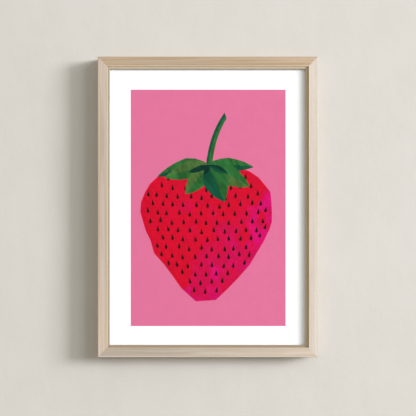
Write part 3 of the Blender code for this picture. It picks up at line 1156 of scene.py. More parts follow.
@dataclass
class Tabs:
    """Flexible steel tabs, driven into the rebate's wall and folded over the board."""

    layout: Layout
    moulding: Moulding
    width: float = 8.0 * MM
    thickness: float = 0.5 * MM
    reach: float = 9.0 * MM
    bite: float = 8.0 * MM
    point: float = 3.5 * MM
    curl: float = 0.7 * MM
    tip: float = 0.3 * MM  # half the width of its point
    room: float = 0.3 * MM
    easing: float = 0.08 * MM
    counts: tuple[int, int] = (3, 4)  # on a short rail and on a long one
    tree: MeshTree = field(init=False)

    def __post_init__(self) -> None:
        """Builds the row of tabs."""
        self.tree = self._row()

    @staticmethod
    def _row() -> MeshTree:
        """Repeats one tab evenly along a rail.

        Returns:
            The tree.
        """
        tree = MeshTree("tab_row", {"Length": "Float", "Count": "Int", "Lift": "Float"})
        graph, inside = tree.graph, tree.inside
        pitch = graph.math("DIVIDE", inside["Length"], inside["Count"])
        first = graph.times(graph.minus(pitch, inside["Length"]), 0.5)
        start, offset = graph.join(first, 0.0, inside["Lift"]), graph.join(pitch, 0.0, 0.0)
        inputs = {"Count": inside["Count"], "Start Location": start, "Offset": offset}
        tree.end(tree.copies(graph.node("GeometryNodeMeshLine", inputs).outputs[0]))
        return tree

    def count(self, side: Side) -> int:
        """How many tabs a side has."""
        return self.counts[1 if side.upright else 0]

    def one(self) -> Solid:
        """A tab with its point up and its blunt end curled off the board, about the rebate wall's height.

        Returns:
            The tab.
        """
        back = self.layout.back_of("tab_top_1")
        half = 0.5 * self.width
        stations = (
            (self.bite, self.tip, 0.0),
            (self.bite - self.point, half, 0.0),
            (0.0, half, 0.0),
            (-0.55 * self.reach, half, 0.06),
            (-0.75 * self.reach, half, 0.40),
            (-0.90 * self.reach, 0.88 * half, 0.78),
            (-0.97 * self.reach, 0.66 * half, 0.94),
            (-self.reach, 0.40 * half, 1.0),
        )
        rings = []
        for height, side, lift in stations:
            w = back - lift * self.curl
            ends = ((-side, w), (side, w), (side, w + self.thickness), (-side, w + self.thickness))
            rings.append([Vector((x, -level, height)) for x, level in ends])
        return loft(rings)

    def pockets(self, side: Side) -> list[Solid]:
        """The slots that a side's tabs are driven into, in the top rail's place.

        Args:
            side: the side.

        Returns:
            The slots, as closed meshes.
        """
        along, across = self.layout.opening(side)
        wall = 0.5 * across + self.moulding.rebate_width
        half = 0.5 * self.width + self.room
        low, high = wall - self.reach, wall + self.bite + self.room
        back = self.layout.back_of("tab_top_1")
        made = []
        for index in range(self.count(side)):
            x = along * ((index + 0.5) / self.count(side) - 0.5)
            corners = ((x - half, low), (x + half, low), (x + half, high), (x - half, high))
            made.append(prism(corners, back - self.room, back + self.thickness + self.room))
        return made

    def build(self, side: Side, material: Material) -> Piece:
        """Makes the tabs of one side.

        Args:
            side: the side.
            material: their finish.

        Returns:
            The tabs, as one piece.
        """
        along, across = self.layout.opening(side)
        lift = 0.5 * across + self.moulding.rebate_width
        values = {"Length": along, "Count": self.count(side), "Lift": lift}
        row = self.tree.run(f"tabs_{side.label}", self.one(), material, values)
        row.data.transform(self.layout.to_place(side))
        shade(eased(row, self.easing))
        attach(row, BODY)
        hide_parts(*(f"tab_{side.label}_{index + 1}" for index in range(self.count(side))))
        return row


@dataclass
class VNails:
    """Two V-nails across the back of each mitre."""

    layout: Layout
    moulding: Moulding
    half_angle: float = math.radians(40.0)
    leg: float = 7.0 * MM
    thickness: float = 0.8 * MM
    depth: float = 10.0 * MM
    sink: float = 0.5 * MM
    inset: float = 6.0 * MM
    edge: float = 3.0 * MM
    room: float = 0.3 * MM
    easing: float = 0.12 * MM
    tree: MeshTree = field(init=False)

    def __post_init__(self) -> None:
        """Builds the pattern of nails."""
        self.tree = self._pattern()

    @property
    def places(self) -> tuple[float, float]:
        """The u of each nail's point."""
        return (self.moulding.rebate_width + self.inset, self.layout.rail_width - self.edge - self.leg)

    @staticmethod
    def _pattern() -> MeshTree:
        """Puts one nail at each corner of an upright rectangle, turned to its mitre and moved out along it.

        Returns:
            The tree.
        """
        tree = MeshTree("corner_nails", {"Width": "Float", "Height": "Float", "Place": "Float"})
        graph, place = tree.graph, tree.inside["Place"]
        x, _, z = graph.parts(graph.node("GeometryNodeInputPosition").outputs[0])
        way_x, way_z = graph.math("SIGN", x), graph.math("SIGN", z)
        out = graph.join(graph.times(way_x, place), 0.0, graph.times(way_z, place))
        moved = graph.node("GeometryNodeSetPosition", {0: tree.corners(), "Offset": out})
        turn = graph.math("ARCTAN2", graph.minus(way_x, way_z), graph.plus(way_x, way_z))
        tree.end(tree.copies(moved.outputs[0], Rotation=graph.join(0.0, turn, 0.0)))
        return tree

    def outline(self, place: float, room: float) -> list[Point]:
        """The nail's outline about a top right corner.

        Args:
            place: the u of its point.
            room: how far it is grown on every side.

        Returns:
            Its corners as (x, z).
        """
        half = 0.5 * self.thickness + room
        reach = self.leg + room
        point = Vector((place, place))
        tip = Vector((1.0, 1.0)) * half / math.sin(self.half_angle) / math.sqrt(2.0)
        corners = []
        for way in (1.0, -1.0):
            angle = 0.25 * math.pi + way * self.half_angle
            leg = Vector((math.cos(angle), math.sin(angle)))
            across = Vector((-leg.y, leg.x)) * way * half
            ends = [point + reach * leg + across, point + reach * leg - across]
            corners += [*ends, point + tip] if way > 0.0 else [ends[1], ends[0]]
        return [tuple(corner) for corner in [*corners, point - tip]]

    def pockets(self, side: Side) -> list[Solid]:
        """The pockets at both ends of a side's rail, in the top rail's place.

        Args:
            side: the side.

        Returns:
            The pockets, as closed meshes.
        """
        along, across = self.layout.opening(side)
        deep = self.sink + self.depth + self.room
        made = []
        for end, turn in ((1.0, 0.0), (-1.0, -0.5 * math.pi)):
            corner = Matrix.Translation((0.5 * end * along, 0.0, 0.5 * across)) @ about_y(turn)
            for place in self.places:
                pocket = prism(self.outline(place, self.room), -self.room, deep)
                bmesh.ops.transform(pocket, matrix=corner, verts=pocket.verts)
                made.append(pocket)
        return made

    def build(self, material: Material) -> list[Piece]:
        """Makes the inner and the outer nails.

        Args:
            material: their finish.

        Returns:
            Two pieces of four nails each.
        """
        made = []
        for number, (label, place) in enumerate(zip(("inner", "outer"), self.places), start=1):
            nail = prism(self.outline(0.0, 0.0), self.sink, self.sink + self.depth)
            values = {"Width": self.layout.sight_width, "Height": self.layout.sight_height, "Place": place}
            nails = self.tree.run(f"v_nails_{label}", nail, material, values)
            nails.data.transform(Matrix.Translation(self.layout.centre))
            shade(eased(nails, self.easing))
            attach(nails, BODY)
            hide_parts(*(f"v_nail_{corner}_{number}" for corner in CORNERS))
            made.append(nails)
        return made


@dataclass
class Hangers:
    """The sawtooth hangers for upright and sideways hanging, with their cross-headed screws."""

    layout: Layout
    head_radius: float = 2.5 * MM
    head_height: float = 1.0 * MM
    shank_radius: float = 1.25 * MM
    shank_length: float = 12.0 * MM
    tip_length: float = 2.5 * MM
    recess_length: float = 2.9 * MM
    recess_width: float = 0.75 * MM
    recess_depth: float = 0.75 * MM
    bore_room: float = 0.3 * MM
    easing: float = 0.10 * MM
    sides: int = 40
    bore_sides: int = 24
    tree: MeshTree = field(init=False)

    def __post_init__(self) -> None:
        """Builds the pair of screws."""
        self.tree = self._pair()

    @staticmethod
    def _pair() -> MeshTree:
        """Puts a screw at both ends of a span, each turned its own way.

        Returns:
            The tree.
        """
        tree = MeshTree("screw_pair", {"Middle": "Vector", "Span": "Vector", "Seed": "Int"})
        graph, inside = tree.graph, tree.inside
        half = graph.vector("MULTIPLY", inside["Span"], (0.5, 0.5, 0.5))
        start = graph.vector("SUBTRACT", inside["Middle"], half)
        ends = {"Count": 2, "Start Location": start, "Offset": inside["Span"]}
        line = graph.node("GeometryNodeMeshLine", ends)
        tree.end(tree.copies(line.outputs[0], Rotation=tree.chance_turn(1.5)))
        return tree

    def _middle(self, node: str) -> Vector:
        """The middle of a node's box."""
        low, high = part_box(node)
        return 0.5 * (low + high)

    def one_screw(self) -> Solid:
        """A dome-headed screw with a cross recess, the underside of its head at w = 0.

        Returns:
            The screw.
        """
        dome = [(r, -w) for w, r in arc((0.0, 0.0), 1.0, 0.0, 90.0, 8)]
        dome = [(self.head_radius * r, self.head_height * w) for r, w in dome]
        shank = [
            (self.shank_radius, 0.0),
            (self.shank_radius, self.shank_length - self.tip_length),
            (0.0, self.shank_length),
        ]
        screw = as_object("screw", turned([*dome, *shank], self.sides))
        top, floor = -self.head_height - 0.5 * MM, self.recess_depth - self.head_height
        bar = (0.5 * self.recess_length, 0.5 * self.recess_width)
        for x, z in (bar, bar[::-1]):
            carved(screw, [prism(((-x, -z), (x, -z), (x, z), (-x, z)), top, floor)])
        mesh = bmesh.new()
        mesh.from_mesh(screw.data)
        bpy.data.objects.remove(screw, do_unlink=True)
        return mesh

    def pockets(self, side: Side) -> list[Solid]:
        """The bores for the screws, in the top rail's place.

        Args:
            side: the side.

        Returns:
            The bores, as closed meshes; none where there is no hanger.
        """
        hanger = {Side.TOP: "top", Side.LEFT: "side"}.get(side)
        if hanger is None:
            return []
        back_home = self.layout.to_place(side).inverted()
        radius, back, end = self.shank_radius + self.bore_room, -self.bore_room, self.shank_length
        made = []
        for number in (1, 2):
            middle = back_home @ self._middle(f"hanger_{hanger}_screw_{number}")
            bore = turned([(0, back), (radius, back), (radius, end), (0, end)], self.bore_sides)
            bmesh.ops.translate(bore, verts=bore.verts, vec=(middle.x, 0.0, middle.z))
            made.append(bore)
        return made

    def build_strip(self, name: str, node: Piece, material: Material) -> Piece:
        """Makes a hanger's strip from its node, with its stamped edges eased.

        Args:
            name: the hanger's name.
            node: its node.
            material: its finish.

        Returns:
            The strip.
        """
        mesh = bmesh.new()
        mesh.from_mesh(node.data)
        bmesh.ops.remove_doubles(mesh, verts=mesh.verts, dist=MERGE)
        bmesh.ops.dissolve_limit(mesh, angle_limit=math.radians(1.0), verts=mesh.verts, edges=mesh.edges)
        strip = as_object(f"sawtooth_{name}", mesh)
        strip.data.materials.clear()
        strip.data.materials.append(material)
        shade(eased(strip, self.easing))
        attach(strip, BODY)
        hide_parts(f"hanger_{name}")
        return strip

    def build_screws(self, name: str, seed: int, material: Material) -> Piece:
        """Makes a hanger's two screws.

        Args:
            name: the hanger's name.
            seed: what their turns are drawn from.
            material: their finish.

        Returns:
            The screws, as one piece.
        """
        nodes = [f"hanger_{name}_screw_{number}" for number in (1, 2)]
        first, second = (self._middle(node) for node in nodes)
        shift = Vector((0.0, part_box(nodes[0])[1].y - self.head_height - 0.5 * (first.y + second.y), 0.0))
        values = {"Middle": 0.5 * (first + second) + shift, "Span": second - first, "Seed": seed}
        screws = self.tree.run(f"hanger_screws_{name}", self.one_screw(), material, values)
        shade(screws)
        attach(screws, BODY)
        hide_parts(*nodes)
        return screws


# ---------------------------------------------------------------------------------------------------------
# Pads, board and glazing
# ---------------------------------------------------------------------------------------------------------


@dataclass
class Pads:
    """Felt pads behind the corners, a little uneven as cut felt is."""

    layout: Layout
    edge_radius: float = 0.6 * MM
    fuzz: float = 0.12 * MM
    rings: int = 7
    sides: int = 56
    soft_angle: float = 60.0  # its edges are shaded smooth up to this
    tree: MeshTree = field(init=False)

    def __post_init__(self) -> None:
        """Builds the pattern of pads."""
        self.tree = self._pattern()

    @staticmethod
    def _pattern() -> MeshTree:
        """Puts a pad at each corner of an upright rectangle, turns it its own way and roughens it.

        Returns:
            The tree.
        """
        tree = MeshTree("felt_pads", {"Width": "Float", "Height": "Float", "Fuzz": "Float", "Seed": "Int"})
        graph = tree.graph
        placed = tree.copies(tree.corners(), Rotation=tree.chance_turn(6.2))
        real = graph.node("GeometryNodeRealizeInstances", {0: placed})
        place = graph.node("GeometryNodeInputPosition").outputs[0]
        hairs = graph.noise(place, 900.0, detail=2.0)
        amount = graph.times(graph.minus(hairs, 0.75), tree.inside["Fuzz"])
        offset = graph.scaled(graph.node("GeometryNodeInputNormal").outputs[0], amount)
        rough = graph.node("GeometryNodeSetPosition", {0: real.outputs[0], "Offset": offset})
        tree.end(rough.outputs[0])
        return tree

    def build(self, material: Material) -> Piece:
        """Makes the four pads.

        Args:
            material: their finish.

        Returns:
            The pads, as one piece.
        """
        names = [f"pad_{level}_{side}" for level in ("bottom", "top") for side in ("left", "right")]
        low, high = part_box(names[0])
        _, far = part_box(names[-1])
        radius = 0.5 * (high.x - low.x)
        thick = high.y - low.y
        rim = radius - self.edge_radius
        face = [(rim * step / self.rings, -thick) for step in range(self.rings)]
        edge = arc((rim, self.edge_radius - thick), self.edge_radius, -90.0, 0.0, 4)
        wall = [(radius, -0.5 * thick), (radius, 0.0), (0.0, 0.0)]
        pad = turned([*face, *edge, *wall], self.sides)
        values = {"Width": far.x - low.x - 2.0 * radius, "Height": far.z - low.z - 2.0 * radius}
        pads = self.tree.run("felt_pads", pad, material, {**values, "Fuzz": self.fuzz, "Seed": 4})
        middle = Vector((0.5 * (low.x + far.x), low.y, 0.5 * (low.z + far.z)))
        pads.data.transform(Matrix.Translation(middle))
        shade(pads, self.soft_angle)
        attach(pads, BODY)
        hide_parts(*names)
        return pads


@dataclass
class Board:
    """The fibreboard that backs the print, bowed a little by the tabs."""

    layout: Layout
    edge: float = 0.35 * MM
    bow: float = 0.15 * MM
    cells: int = 20

    def build(self, material: Material) -> Piece:
        """Makes the board inside its node's box.

        Args:
            material: its finish.

        Returns:
            The board.
        """
        low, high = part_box("back_panel")
        middle, size = 0.5 * (low + high), high - low
        mesh = bmesh.new()
        bmesh.ops.create_cube(mesh, size=1.0)
        bmesh.ops.transform(mesh, matrix=Matrix.Diagonal((*size, 1.0)), verts=mesh.verts)
        long_edges = [edge for edge in mesh.edges if edge.calc_length() > 10.0 * size.y]
        bmesh.ops.subdivide_edges(mesh, edges=long_edges, cuts=self.cells - 1, use_grid_fill=True)
        for vertex in mesh.verts:
            hollow = math.cos(math.pi * vertex.co.x / size.x) * math.cos(math.pi * vertex.co.z / size.z)
            if vertex.co.y > 0.0:
                vertex.co.y -= self.bow * hollow
            vertex.co += middle
        board = as_object("fibreboard_back", mesh)
        board.data.materials.append(material)
        shade(eased(board, self.edge))
        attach(board, BODY)
        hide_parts("back_panel")
        return board


def dress_glazing(node: Piece, finish: GlazingFinish) -> None:
    """Gives the glazing's node its clear finish."""
    for slot in node.material_slots:
        slot.material = finish.material()


# ---------------------------------------------------------------------------------------------------------
# The print
# ---------------------------------------------------------------------------------------------------------


class Ink(Enum):
    """The print's colours, each with how strongly its brushwork shows."""

    PAPER = ("F8F9FD", 0.0)
    GROUND = ("D66E95", 0.02)
    RED = ("C70729", 0.10)
    SEED = ("300A12", 0.15)
    LEAF = ("28632F", 0.45)
    LEAF_DEEP = ("0C4B35", 0.45)
    LEAF_OLIVE = ("436430", 0.45)
    LEAF_DARK = ("042F27", 0.35)


@dataclass
class Shape:
    """One cut piece of the picture, in millimetres from the middle of the printed ground."""

    outline: list[Vector]
    ink: Ink

    def __post_init__(self) -> None:
        """Puts the outline in anticlockwise order."""
        area = sum(a.x * b.y - b.x * a.y for a, b in zip(self.outline, self.outline[1:] + self.outline[:1]))
        if area < 0.0:
            self.outline.reverse()


@dataclass(frozen=True)
class Sepal:
    """One leaf of the calyx."""

    angle: float  # its direction from the stem, in degrees
    length: float
    width: float
    droop: float  # how far its tip bends down, as a share of its length
    inks: tuple[Ink, Ink]  # its upper and its lower half


@dataclass
class Strawberry:
    """A strawberry in cut paper, drawn by rule: a faceted berry, rows of seeds, a calyx and a stem."""

    width: float = 331.0
    top: float = 112.0
    bottom: float = -233.0
    middle: float = -3.0
    lean: float = -5.0  # sideways, from the top to the tip
    shoulder: float = 0.60
    fullness: float = 0.75
    bluntness: float = 0.955  # how much of the curve is drawn before the tip is cut off
    facets: int = 15
    snip: float = 3.2  # how far a facet's corner strays
    seed_pitch: float = 29.0
    seed_row: float = 21.5
    seed_length: float = 15.0
    seed_width: float = 7.6
    seed_stray: float = 3.4
    seed_sag: float = 9.0  # how much lower a row is in its middle
    first_row: float = 10.0  # below the berry's top
    seed_turn: float = 0.12  # the most that a seed strays from its row's direction, in radians
    bloom: tuple[float, float] = (0.18, 0.66)  # the least of it, and how much is added
    bloom_span: tuple[float, float] = (14.0, 140.0)  # where it starts, and how far it rises
    stem_bend: Point = (9.0, 181.0)
    stem_end: Point = (43.5, 231.0)
    stem_half_width: float = 7.8
    stem_taper: float = 1.4  # how much narrower each half is at its end
    stem_slant: float = 4.5
    stem_steps: int = 8
    leaf_shape: tuple[Point, ...] = (  # width shares along a sepal
        (0.0, 0.16),
        (0.12, 0.58),
        (0.28, 0.92),
        (0.46, 1.0),
        (0.64, 0.84),
        (0.80, 0.56),
        (0.92, 0.26),
        (1.0, 0.0),
    )
    leaf_stray: tuple[float, float] = (0.90, 1.08)  # how much narrower or wider a snip can be
    sepals: tuple[Sepal, ...] = (
        Sepal(174.0, 130.0, 40.0, 0.32, (Ink.LEAF, Ink.LEAF_DEEP)),
        Sepal(6.0, 114.0, 36.0, 0.14, (Ink.LEAF, Ink.LEAF_DEEP)),
        Sepal(189.0, 112.0, 44.0, 0.12, (Ink.LEAF_OLIVE, Ink.LEAF)),
        Sepal(337.0, 112.0, 52.0, 0.08, (Ink.LEAF, Ink.LEAF_OLIVE)),
        Sepal(231.0, 92.0, 50.0, 0.0, (Ink.LEAF_OLIVE, Ink.LEAF)),
        Sepal(294.0, 100.0, 62.0, 0.0, (Ink.LEAF, Ink.LEAF_DEEP)),
        Sepal(199.0, 54.0, 15.0, 0.0, (Ink.LEAF_DARK, Ink.LEAF_DARK)),
        Sepal(343.0, 52.0, 16.0, 0.1, (Ink.LEAF_DARK, Ink.LEAF_DEEP)),
        Sepal(247.0, 26.0, 13.0, 0.0, (Ink.LEAF_DARK, Ink.LEAF_DARK)),
    )
    chance: random.Random = field(default_factory=lambda: random.Random(11))

    def centre_at(self, share: float) -> float:
        """The x of the berry's middle at a share of its height from the top."""
        return self.middle + self.lean * (share - 0.3)

    def half_at(self, share: float) -> float:
        """The berry's half width at a share of its height from the top."""
        curve = math.sin(math.pi * (self.bluntness * share) ** self.shoulder)
        return 0.5 * self.width * curve**self.fullness

    def bloom_at(self, point: Vector) -> float:
        """How much rose and magenta wash into the red at a point, more towards the lower right."""
        (least, more), (start, reach) = self.bloom, self.bloom_span
        return least + more * smooth((point.x * 0.8 - point.y * 0.6 - start) / reach)

    def berry(self) -> Shape:
        """The berry's outline in straight snips.

        Returns:
            The berry.
        """
        shares = [(step / self.facets) ** 1.4 for step in range(1, self.facets + 1)]
        sides = []
        for way in (1.0, -1.0):
            side = []
            for share in shares:
                x = self.centre_at(share) + way * self.half_at(share)
                z = self.top - share * (self.top - self.bottom)
                side.append(Vector([value + self.chance.uniform(-self.snip, self.snip) for value in (x, z)]))
            sides.append(side)
        right, left = sides
        peak = Vector((self.centre_at(0.0), self.top - 3.0))
        return Shape([peak, *right, *reversed(left)], Ink.RED)

    def seed(self, x: float, z: float, turn: float) -> list[Vector]:
        """A teardrop with its point up.

        Args:
            x: its middle's place across.
            z: its middle's height.
            turn: how far it is turned, in radians.

        Returns:
            Its outline.
        """
        half, length = 0.5 * self.seed_width, self.seed_length
        round_end = arc((0.0, 0.0), half, -200.0, 20.0, 5)
        outline = [Vector((px, pz - 0.5 * length + half)) for px, pz in round_end]
        outline.append(Vector((0.0, 0.5 * length)))
        for corner in outline:
            corner.rotate(Matrix.Rotation(turn, 2))
            corner += Vector((x, z))
        return outline

    def seeds(self, berry: Shape) -> list[Shape]:
        """Staggered rows of seeds that follow the berry's roundness and stay clear of its edge.

        Args:
            berry: the berry.

        Returns:
            The seeds.
        """
        made = []
        rows = int((self.top - self.bottom) / self.seed_row) + 1
        for row in range(rows):
            level = self.top - self.first_row - row * self.seed_row
            share = (self.top - level) / (self.top - self.bottom)
            half = max(1.0, self.half_at(min(1.0, share)))
            count = int(half / self.seed_pitch) + 1
            for column in range(-count, count + 1):
                across = (column + 0.5 * (row % 2)) * self.seed_pitch
                bulge = max(-1.0, min(1.0, across / half))
                x = self.centre_at(share) + across * (1.0 - 0.06 * bulge * bulge)
                sag = self.seed_sag * (1.0 - bulge * bulge)
                stray = Vector([self.chance.uniform(-self.seed_stray, self.seed_stray) for _ in range(2)])
                middle = Vector((x, level - sag)) + stray
                room = [middle + 2.0 * (corner - middle) for corner in self.seed(middle.x, middle.y, 0.0)]
                if all(inside(corner, berry.outline) for corner in room):
                    turn = -0.30 * bulge * share + self.chance.uniform(-self.seed_turn, self.seed_turn)
                    made.append(Shape(self.seed(middle.x, middle.y, turn), Ink.SEED))
        return made

    def leaf(self, sepal: Sepal) -> list[Shape]:
        """A sepal's two folded halves, with straight snips along their rims.

        Args:
            sepal: its sizes and inks.

        Returns:
            The upper and the lower half.
        """
        root = Vector((1.0, self.top - 6.0))
        angle = math.radians(sepal.angle)
        ahead = Vector((math.cos(angle), math.sin(angle)))
        side = Vector((-ahead.y, ahead.x)) * (1.0 if ahead.x > 0.0 else -1.0)
        shares, widths = zip(*self.leaf_shape)
        fall = sepal.droop * sepal.length
        spine = [root + ahead * sepal.length * s - Vector((0.0, fall * s * s)) for s in shares]
        halves = []
        for way, ink in zip((1.0, -1.0), sepal.inks):
            rim = []
            for middle, wide in zip(spine[:-1], widths[:-1]):
                reach = 0.5 * sepal.width * wide * self.chance.uniform(*self.leaf_stray)
                rim.append(middle + side * way * reach)
            halves.append(Shape([*spine, *reversed(rim)], ink))
        return halves

    def stem(self) -> list[Shape]:
        """A stem that bends to the right and ends in a slanted cut.

        Returns:
            Its darker and its lighter half.
        """
        base, bend, end = Vector((2.0, self.top - 8.0)), Vector(self.stem_bend), Vector(self.stem_end)
        left, middle, right = [], [], []
        for step in range(self.stem_steps + 1):
            t = step / self.stem_steps
            at = base * (1 - t) ** 2 + bend * 2 * t * (1 - t) + end * t**2
            ahead = ((bend - base) * (1 - t) + (end - bend) * t).normalized()
            side = Vector((-ahead.y, ahead.x)) * (self.stem_half_width - self.stem_taper * t)
            slant = ahead * self.stem_slant * t**6
            left.append(at + side + slant)
            middle.append(at + side * (0.35 - 0.5 * t))
            right.append(at - side - slant)
        return [
            Shape([*left, *reversed(middle)], Ink.LEAF_DEEP),
            Shape([*middle, *reversed(right)], Ink.LEAF),
        ]


def inside(point: Vector, outline: Sequence[Vector]) -> bool:
    """Whether a point is inside an outline.

    Args:
        point: the point.
        outline: the outline's corners in order.

    Returns:
        True inside.
    """
    within = False
    for a, b in zip(outline, [*outline[1:], outline[0]]):
        if (a.y > point.y) != (b.y > point.y):
            if point.x < a.x + (b.x - a.x) * (point.y - a.y) / (b.y - a.y):
                within = not within
    return within


@dataclass
class PrintedSheet:
    """The sheet: paper, a printed ground with a margin round it, and the strawberry, as one closed mesh."""

    layout: Layout
    ground_width: float = 388.0 * MM
    ground_height: float = 592.0 * MM
    ground_shift: tuple[float, float] = (0.8 * MM, -2.4 * MM)  # of the ground from the opening's middle
    strawberry: Strawberry = field(default_factory=Strawberry)

    def shapes(self, low: Vector, high: Vector, middle: Vector) -> list[Shape]:
        """All of the picture's shapes in the order in which they are laid down, in millimetres.

        Args:
            low: the sheet's lowest corner.
            high: its highest corner.
            middle: the middle of the printed ground.

        Returns:
            The shapes.
        """
        sheet = [Vector(((x - middle.x) / MM, (z - middle.z) / MM)) for x, z in box_corners(low, high)]
        half = Vector((0.5 * self.ground_width, 0.0, 0.5 * self.ground_height))
        ground = [Vector((x / MM, z / MM)) for x, z in box_corners(-half, half)]
        berry = self.strawberry.berry()
        laid = [Shape(sheet, Ink.PAPER), Shape(ground, Ink.GROUND), berry]
        laid += self.strawberry.seeds(berry)
        laid += self.strawberry.stem()
        for sepal in self.strawberry.sepals:
            laid += self.strawberry.leaf(sepal)
        return laid

    def build(self, material: Material) -> Piece:
        """Makes the sheet inside its node's box.

        Args:
            material: its finish.

        Returns:
            The sheet.
        """
        low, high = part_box("print")
        middle = self.layout.centre + Vector((self.ground_shift[0], 0.0, self.ground_shift[1]))
        shapes = self.shapes(low, high, middle)
        points, outlines = [], []
        for shape in shapes:
            outlines.append(list(range(len(points), len(points) + len(shape.outline))))
            points += shape.outline
        corners, _, cells, _, _, owners = geometry.delaunay_2d_cdt(points, [], outlines, 1, 1e-4)
        mesh = bmesh.new()
        ink_layer = mesh.loops.layers.float_color.new("ink")
        bloom_layer = mesh.loops.layers.float.new("bloom")
        front = [mesh.verts.new((middle.x + p.x * MM, low.y, middle.z + p.y * MM)) for p in corners]
        for cell, owned in zip(cells, owners):
            face = mesh.faces.new([front[index] for index in cell])
            ink = shapes[max(owned)].ink
            colour, brushwork = ink.value
            for loop, index in zip(face.loops, cell):
                loop[ink_layer] = (*paint(colour)[:3], brushwork)
                if ink is Ink.RED:
                    loop[bloom_layer] = self.strawberry.bloom_at(corners[index])
        self._close(mesh, ink_layer, low, high)
        sheet = as_object("printed_sheet", mesh)
        sheet.data.materials.append(material)
        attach(sheet, BODY)
        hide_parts("print")
        return sheet

    @staticmethod
    def _close(mesh: Solid, ink_layer: bmesh.types.BMLayerItem, low: Vector, high: Vector) -> None:
        """Adds the sheet's four edges and its back.

        Args:
            mesh: the sheet's front, which is closed in place.
            ink_layer: the layer of its inks.
            low: the sheet's lowest corner.
            high: its highest corner.
        """
        middle = 0.5 * (low + high)
        rim = [vertex for vertex in mesh.verts if vertex.is_boundary]
        rim.sort(key=lambda vertex: math.atan2(vertex.co.z - middle.z, vertex.co.x - middle.x))
        behind = [mesh.verts.new(vertex.co + Vector((0.0, high.y - low.y, 0.0))) for vertex in rim]
        for index, vertex in enumerate(rim):
            following = (index + 1) % len(rim)
            mesh.faces.new((vertex, rim[following], behind[following], behind[index]))
        mesh.faces.new(behind)
        bmesh.ops.recalc_face_normals(mesh, faces=mesh.faces)
        blank = (*paint(Ink.PAPER.value[0])[:3], Ink.PAPER.value[1])
        for face in mesh.faces:
            if any(vertex.co.y > middle.y for vertex in face.verts):
                for loop in face.loops:
                    loop[ink_layer] = blank


def smooth(share: float) -> float:
    """A share from 0 to 1, eased at both ends and held beyond them."""
    held = max(0.0, min(1.0, share))
    return held * held * (3.0 - 2.0 * held)


def box_corners(low: Vector, high: Vector) -> list[Point]:
    """A box's four corners as (x, z)."""
    return [(low.x, low.z), (high.x, low.z), (high.x, high.z), (low.x, high.z)]


# ---------------------------------------------------------------------------------------------------------
# The studio
# ---------------------------------------------------------------------------------------------------------


@dataclass(frozen=True)
class Lamp:
    """A rectangular soft light that looks at the frame."""

    name: str
    place: tuple[float, float, float]  # from the frame's middle
    size: tuple[float, float]
    power: float
    colour: str


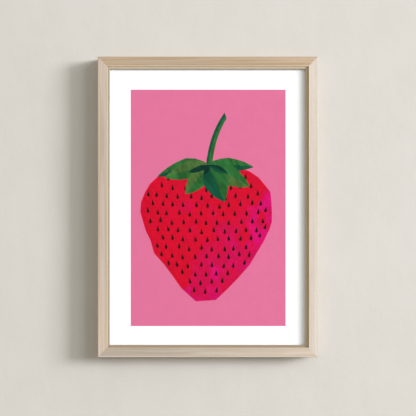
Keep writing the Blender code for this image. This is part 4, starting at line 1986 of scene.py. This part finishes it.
@dataclass
class Studio:
    """A pale plaster wall, a pale floor, soft lights and a camera straight in front."""

    layout: Layout
    distance: float = 1.8  # from the print to the camera
    view_width: float = 1.042  # of the picture, at the print
    view_shift: tuple[float, float] = (0.4 * MM, -2.7 * MM)
    hanging_height: float = 1.5
    half_width: float = 3.5  # of the wall and the floor
    wall_y: float = 0.4 * MM  # just clear of the pads
    wall_top: float = 1.6
    floor_depth: float = 5.0
    finishes: tuple[PlasterFinish, PlasterFinish] = (
        PlasterFinish("painted_wall", "D0CDC8", "CBC8C2"),
        PlasterFinish("painted_floor", "8A847B", "79736B"),
    )
    world_low: float = 0.03  # how bright the room is from below
    world_high: float = 0.85  # how bright it is from above
    lamps: tuple[Lamp, ...] = (
        Lamp("near_window", (16.8, -5.78, 3.3), (3.75, 4.9), 4820.0, "FAFBFF"),
        Lamp("far_windows", (15.45, -8.22, 6.2), (10.95, 8.0), 2240.0, "FAFBFF"),
        Lamp("back_light", (0.0, 0.70, 0.0), (0.50, 0.70), 5.5, "FFFFFF"),
    )

    def build_room(self, effects: Effects) -> None:
        """Makes the wall and the floor.

        Args:
            effects: the shared node groups.
        """
        floor_z = self.layout.centre.z - self.hanging_height
        foot, far = (self.wall_y, floor_z), (-self.floor_depth, floor_z)
        edges = ((foot, (self.wall_y, self.wall_top)), (far, foot))
        wide = self.half_width
        for name, finish, ((y, z), (end_y, end_z)) in zip(("wall", "floor"), self.finishes, edges):
            corners = ((-wide, y, z), (wide, y, z), (wide, end_y, end_z), (-wide, end_y, end_z))
            mesh = bmesh.new()
            mesh.faces.new([mesh.verts.new(corner) for corner in corners])
            item = as_object(name, mesh)
            item.data.materials.append(finish.material(effects))

    def build_lights(self) -> None:
        """Makes the lamps and the sky."""
        target = self.layout.centre
        for lamp in self.lamps:
            data = bpy.data.lights.new(lamp.name, "AREA")
            data.shape = "RECTANGLE"
            data.size, data.size_y = lamp.size
            data.energy = lamp.power
            data.color = paint(lamp.colour)[:3]
            item = bpy.data.objects.new(lamp.name, data)
            item.location = target + Vector(lamp.place)
            item.rotation_euler = (target - item.location).to_track_quat("-Z", "Y").to_euler()
            bpy.context.scene.collection.objects.link(item)
        world = bpy.data.worlds.new("pale_room")
        world.use_nodes = True
        graph = Graph(world.node_tree)
        upwards = graph.parts(graph.node("ShaderNodeTexCoord").outputs["Generated"])[2]
        inputs = {"Value": upwards, "From Min": -1.0, "To Min": self.world_low, "To Max": self.world_high}
        strength = graph.node("ShaderNodeMapRange", inputs).outputs["Result"]
        sky = world.node_tree.nodes["Background"]
        sky.inputs["Color"].default_value = paint("FFFCF0")
        graph.tree.links.new(strength, sky.inputs["Strength"])
        bpy.context.scene.world = world

    def build_camera(self) -> None:
        """Makes the camera."""
        data = bpy.data.cameras.new("camera")
        data.sensor_width = 36.0
        data.lens = data.sensor_width * self.distance / self.view_width
        data.clip_start = 0.01
        item = bpy.data.objects.new("camera", data)
        centre, plane = self.layout.centre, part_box("print")[0].y
        shift_x, shift_z = self.view_shift
        item.location = (centre.x + shift_x, plane - self.distance, centre.z + shift_z)
        item.rotation_euler = (0.5 * math.pi, 0.0, 0.0)
        bpy.context.scene.collection.objects.link(item)
        bpy.context.scene.camera = item
        bpy.context.scene.view_settings.view_transform = "Standard"


# ---------------------------------------------------------------------------------------------------------
# Assembly
# ---------------------------------------------------------------------------------------------------------


def report(*pieces: Piece) -> None:
    """Logs what was built."""
    for piece in pieces:
        LOG.info("%s: %d faces", piece.name, len(piece.data.polygons))


def main() -> None:
    """Builds the frame's pieces in order, then the room round them."""
    logging.basicConfig(level=logging.INFO, format="%(name)s %(message)s")
    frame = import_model()
    layout = Layout.from_nodes()
    studio = Studio(layout)
    studio.build_camera()
    effects = Effects(layout)
    plate = SteelFinish("zinc_plate", "D8D8D4", "A9A9A6", 0.22, 0.42).material(effects)
    nickel = SteelFinish("screw_plate", "D2CFC6", "A5A199", 0.18, 0.36).material(effects)

    moulding = Moulding(layout)
    tabs = Tabs(layout, moulding)
    nails = VNails(layout, moulding)
    hangers = Hangers(layout)
    for wood in WOOD:
        pockets = [*tabs.pockets(wood.side), *nails.pockets(wood.side), *hangers.pockets(wood.side)]
        report(moulding.build(wood.side, wood.material(effects), pockets))
        report(tabs.build(wood.side, plate))
    report(*nails.build(plate))
    for seed, name in enumerate(("top", "side"), start=1):
        report(hangers.build_strip(name, frame["nodes"][f"hanger_{name}"], plate))
        report(hangers.build_screws(name, seed, nickel))

    report(PrintedSheet(layout).build(PrintFinish().material(effects)))
    report(Board(layout).build(BoardFinish().material(effects)))
    report(Pads(layout).build(FeltFinish().material(effects)))
    dress_glazing(frame["nodes"]["glazing"], GlazingFinish())

    studio.build_room(effects)
    studio.build_lights()


if __name__ == "__main__":
    main()
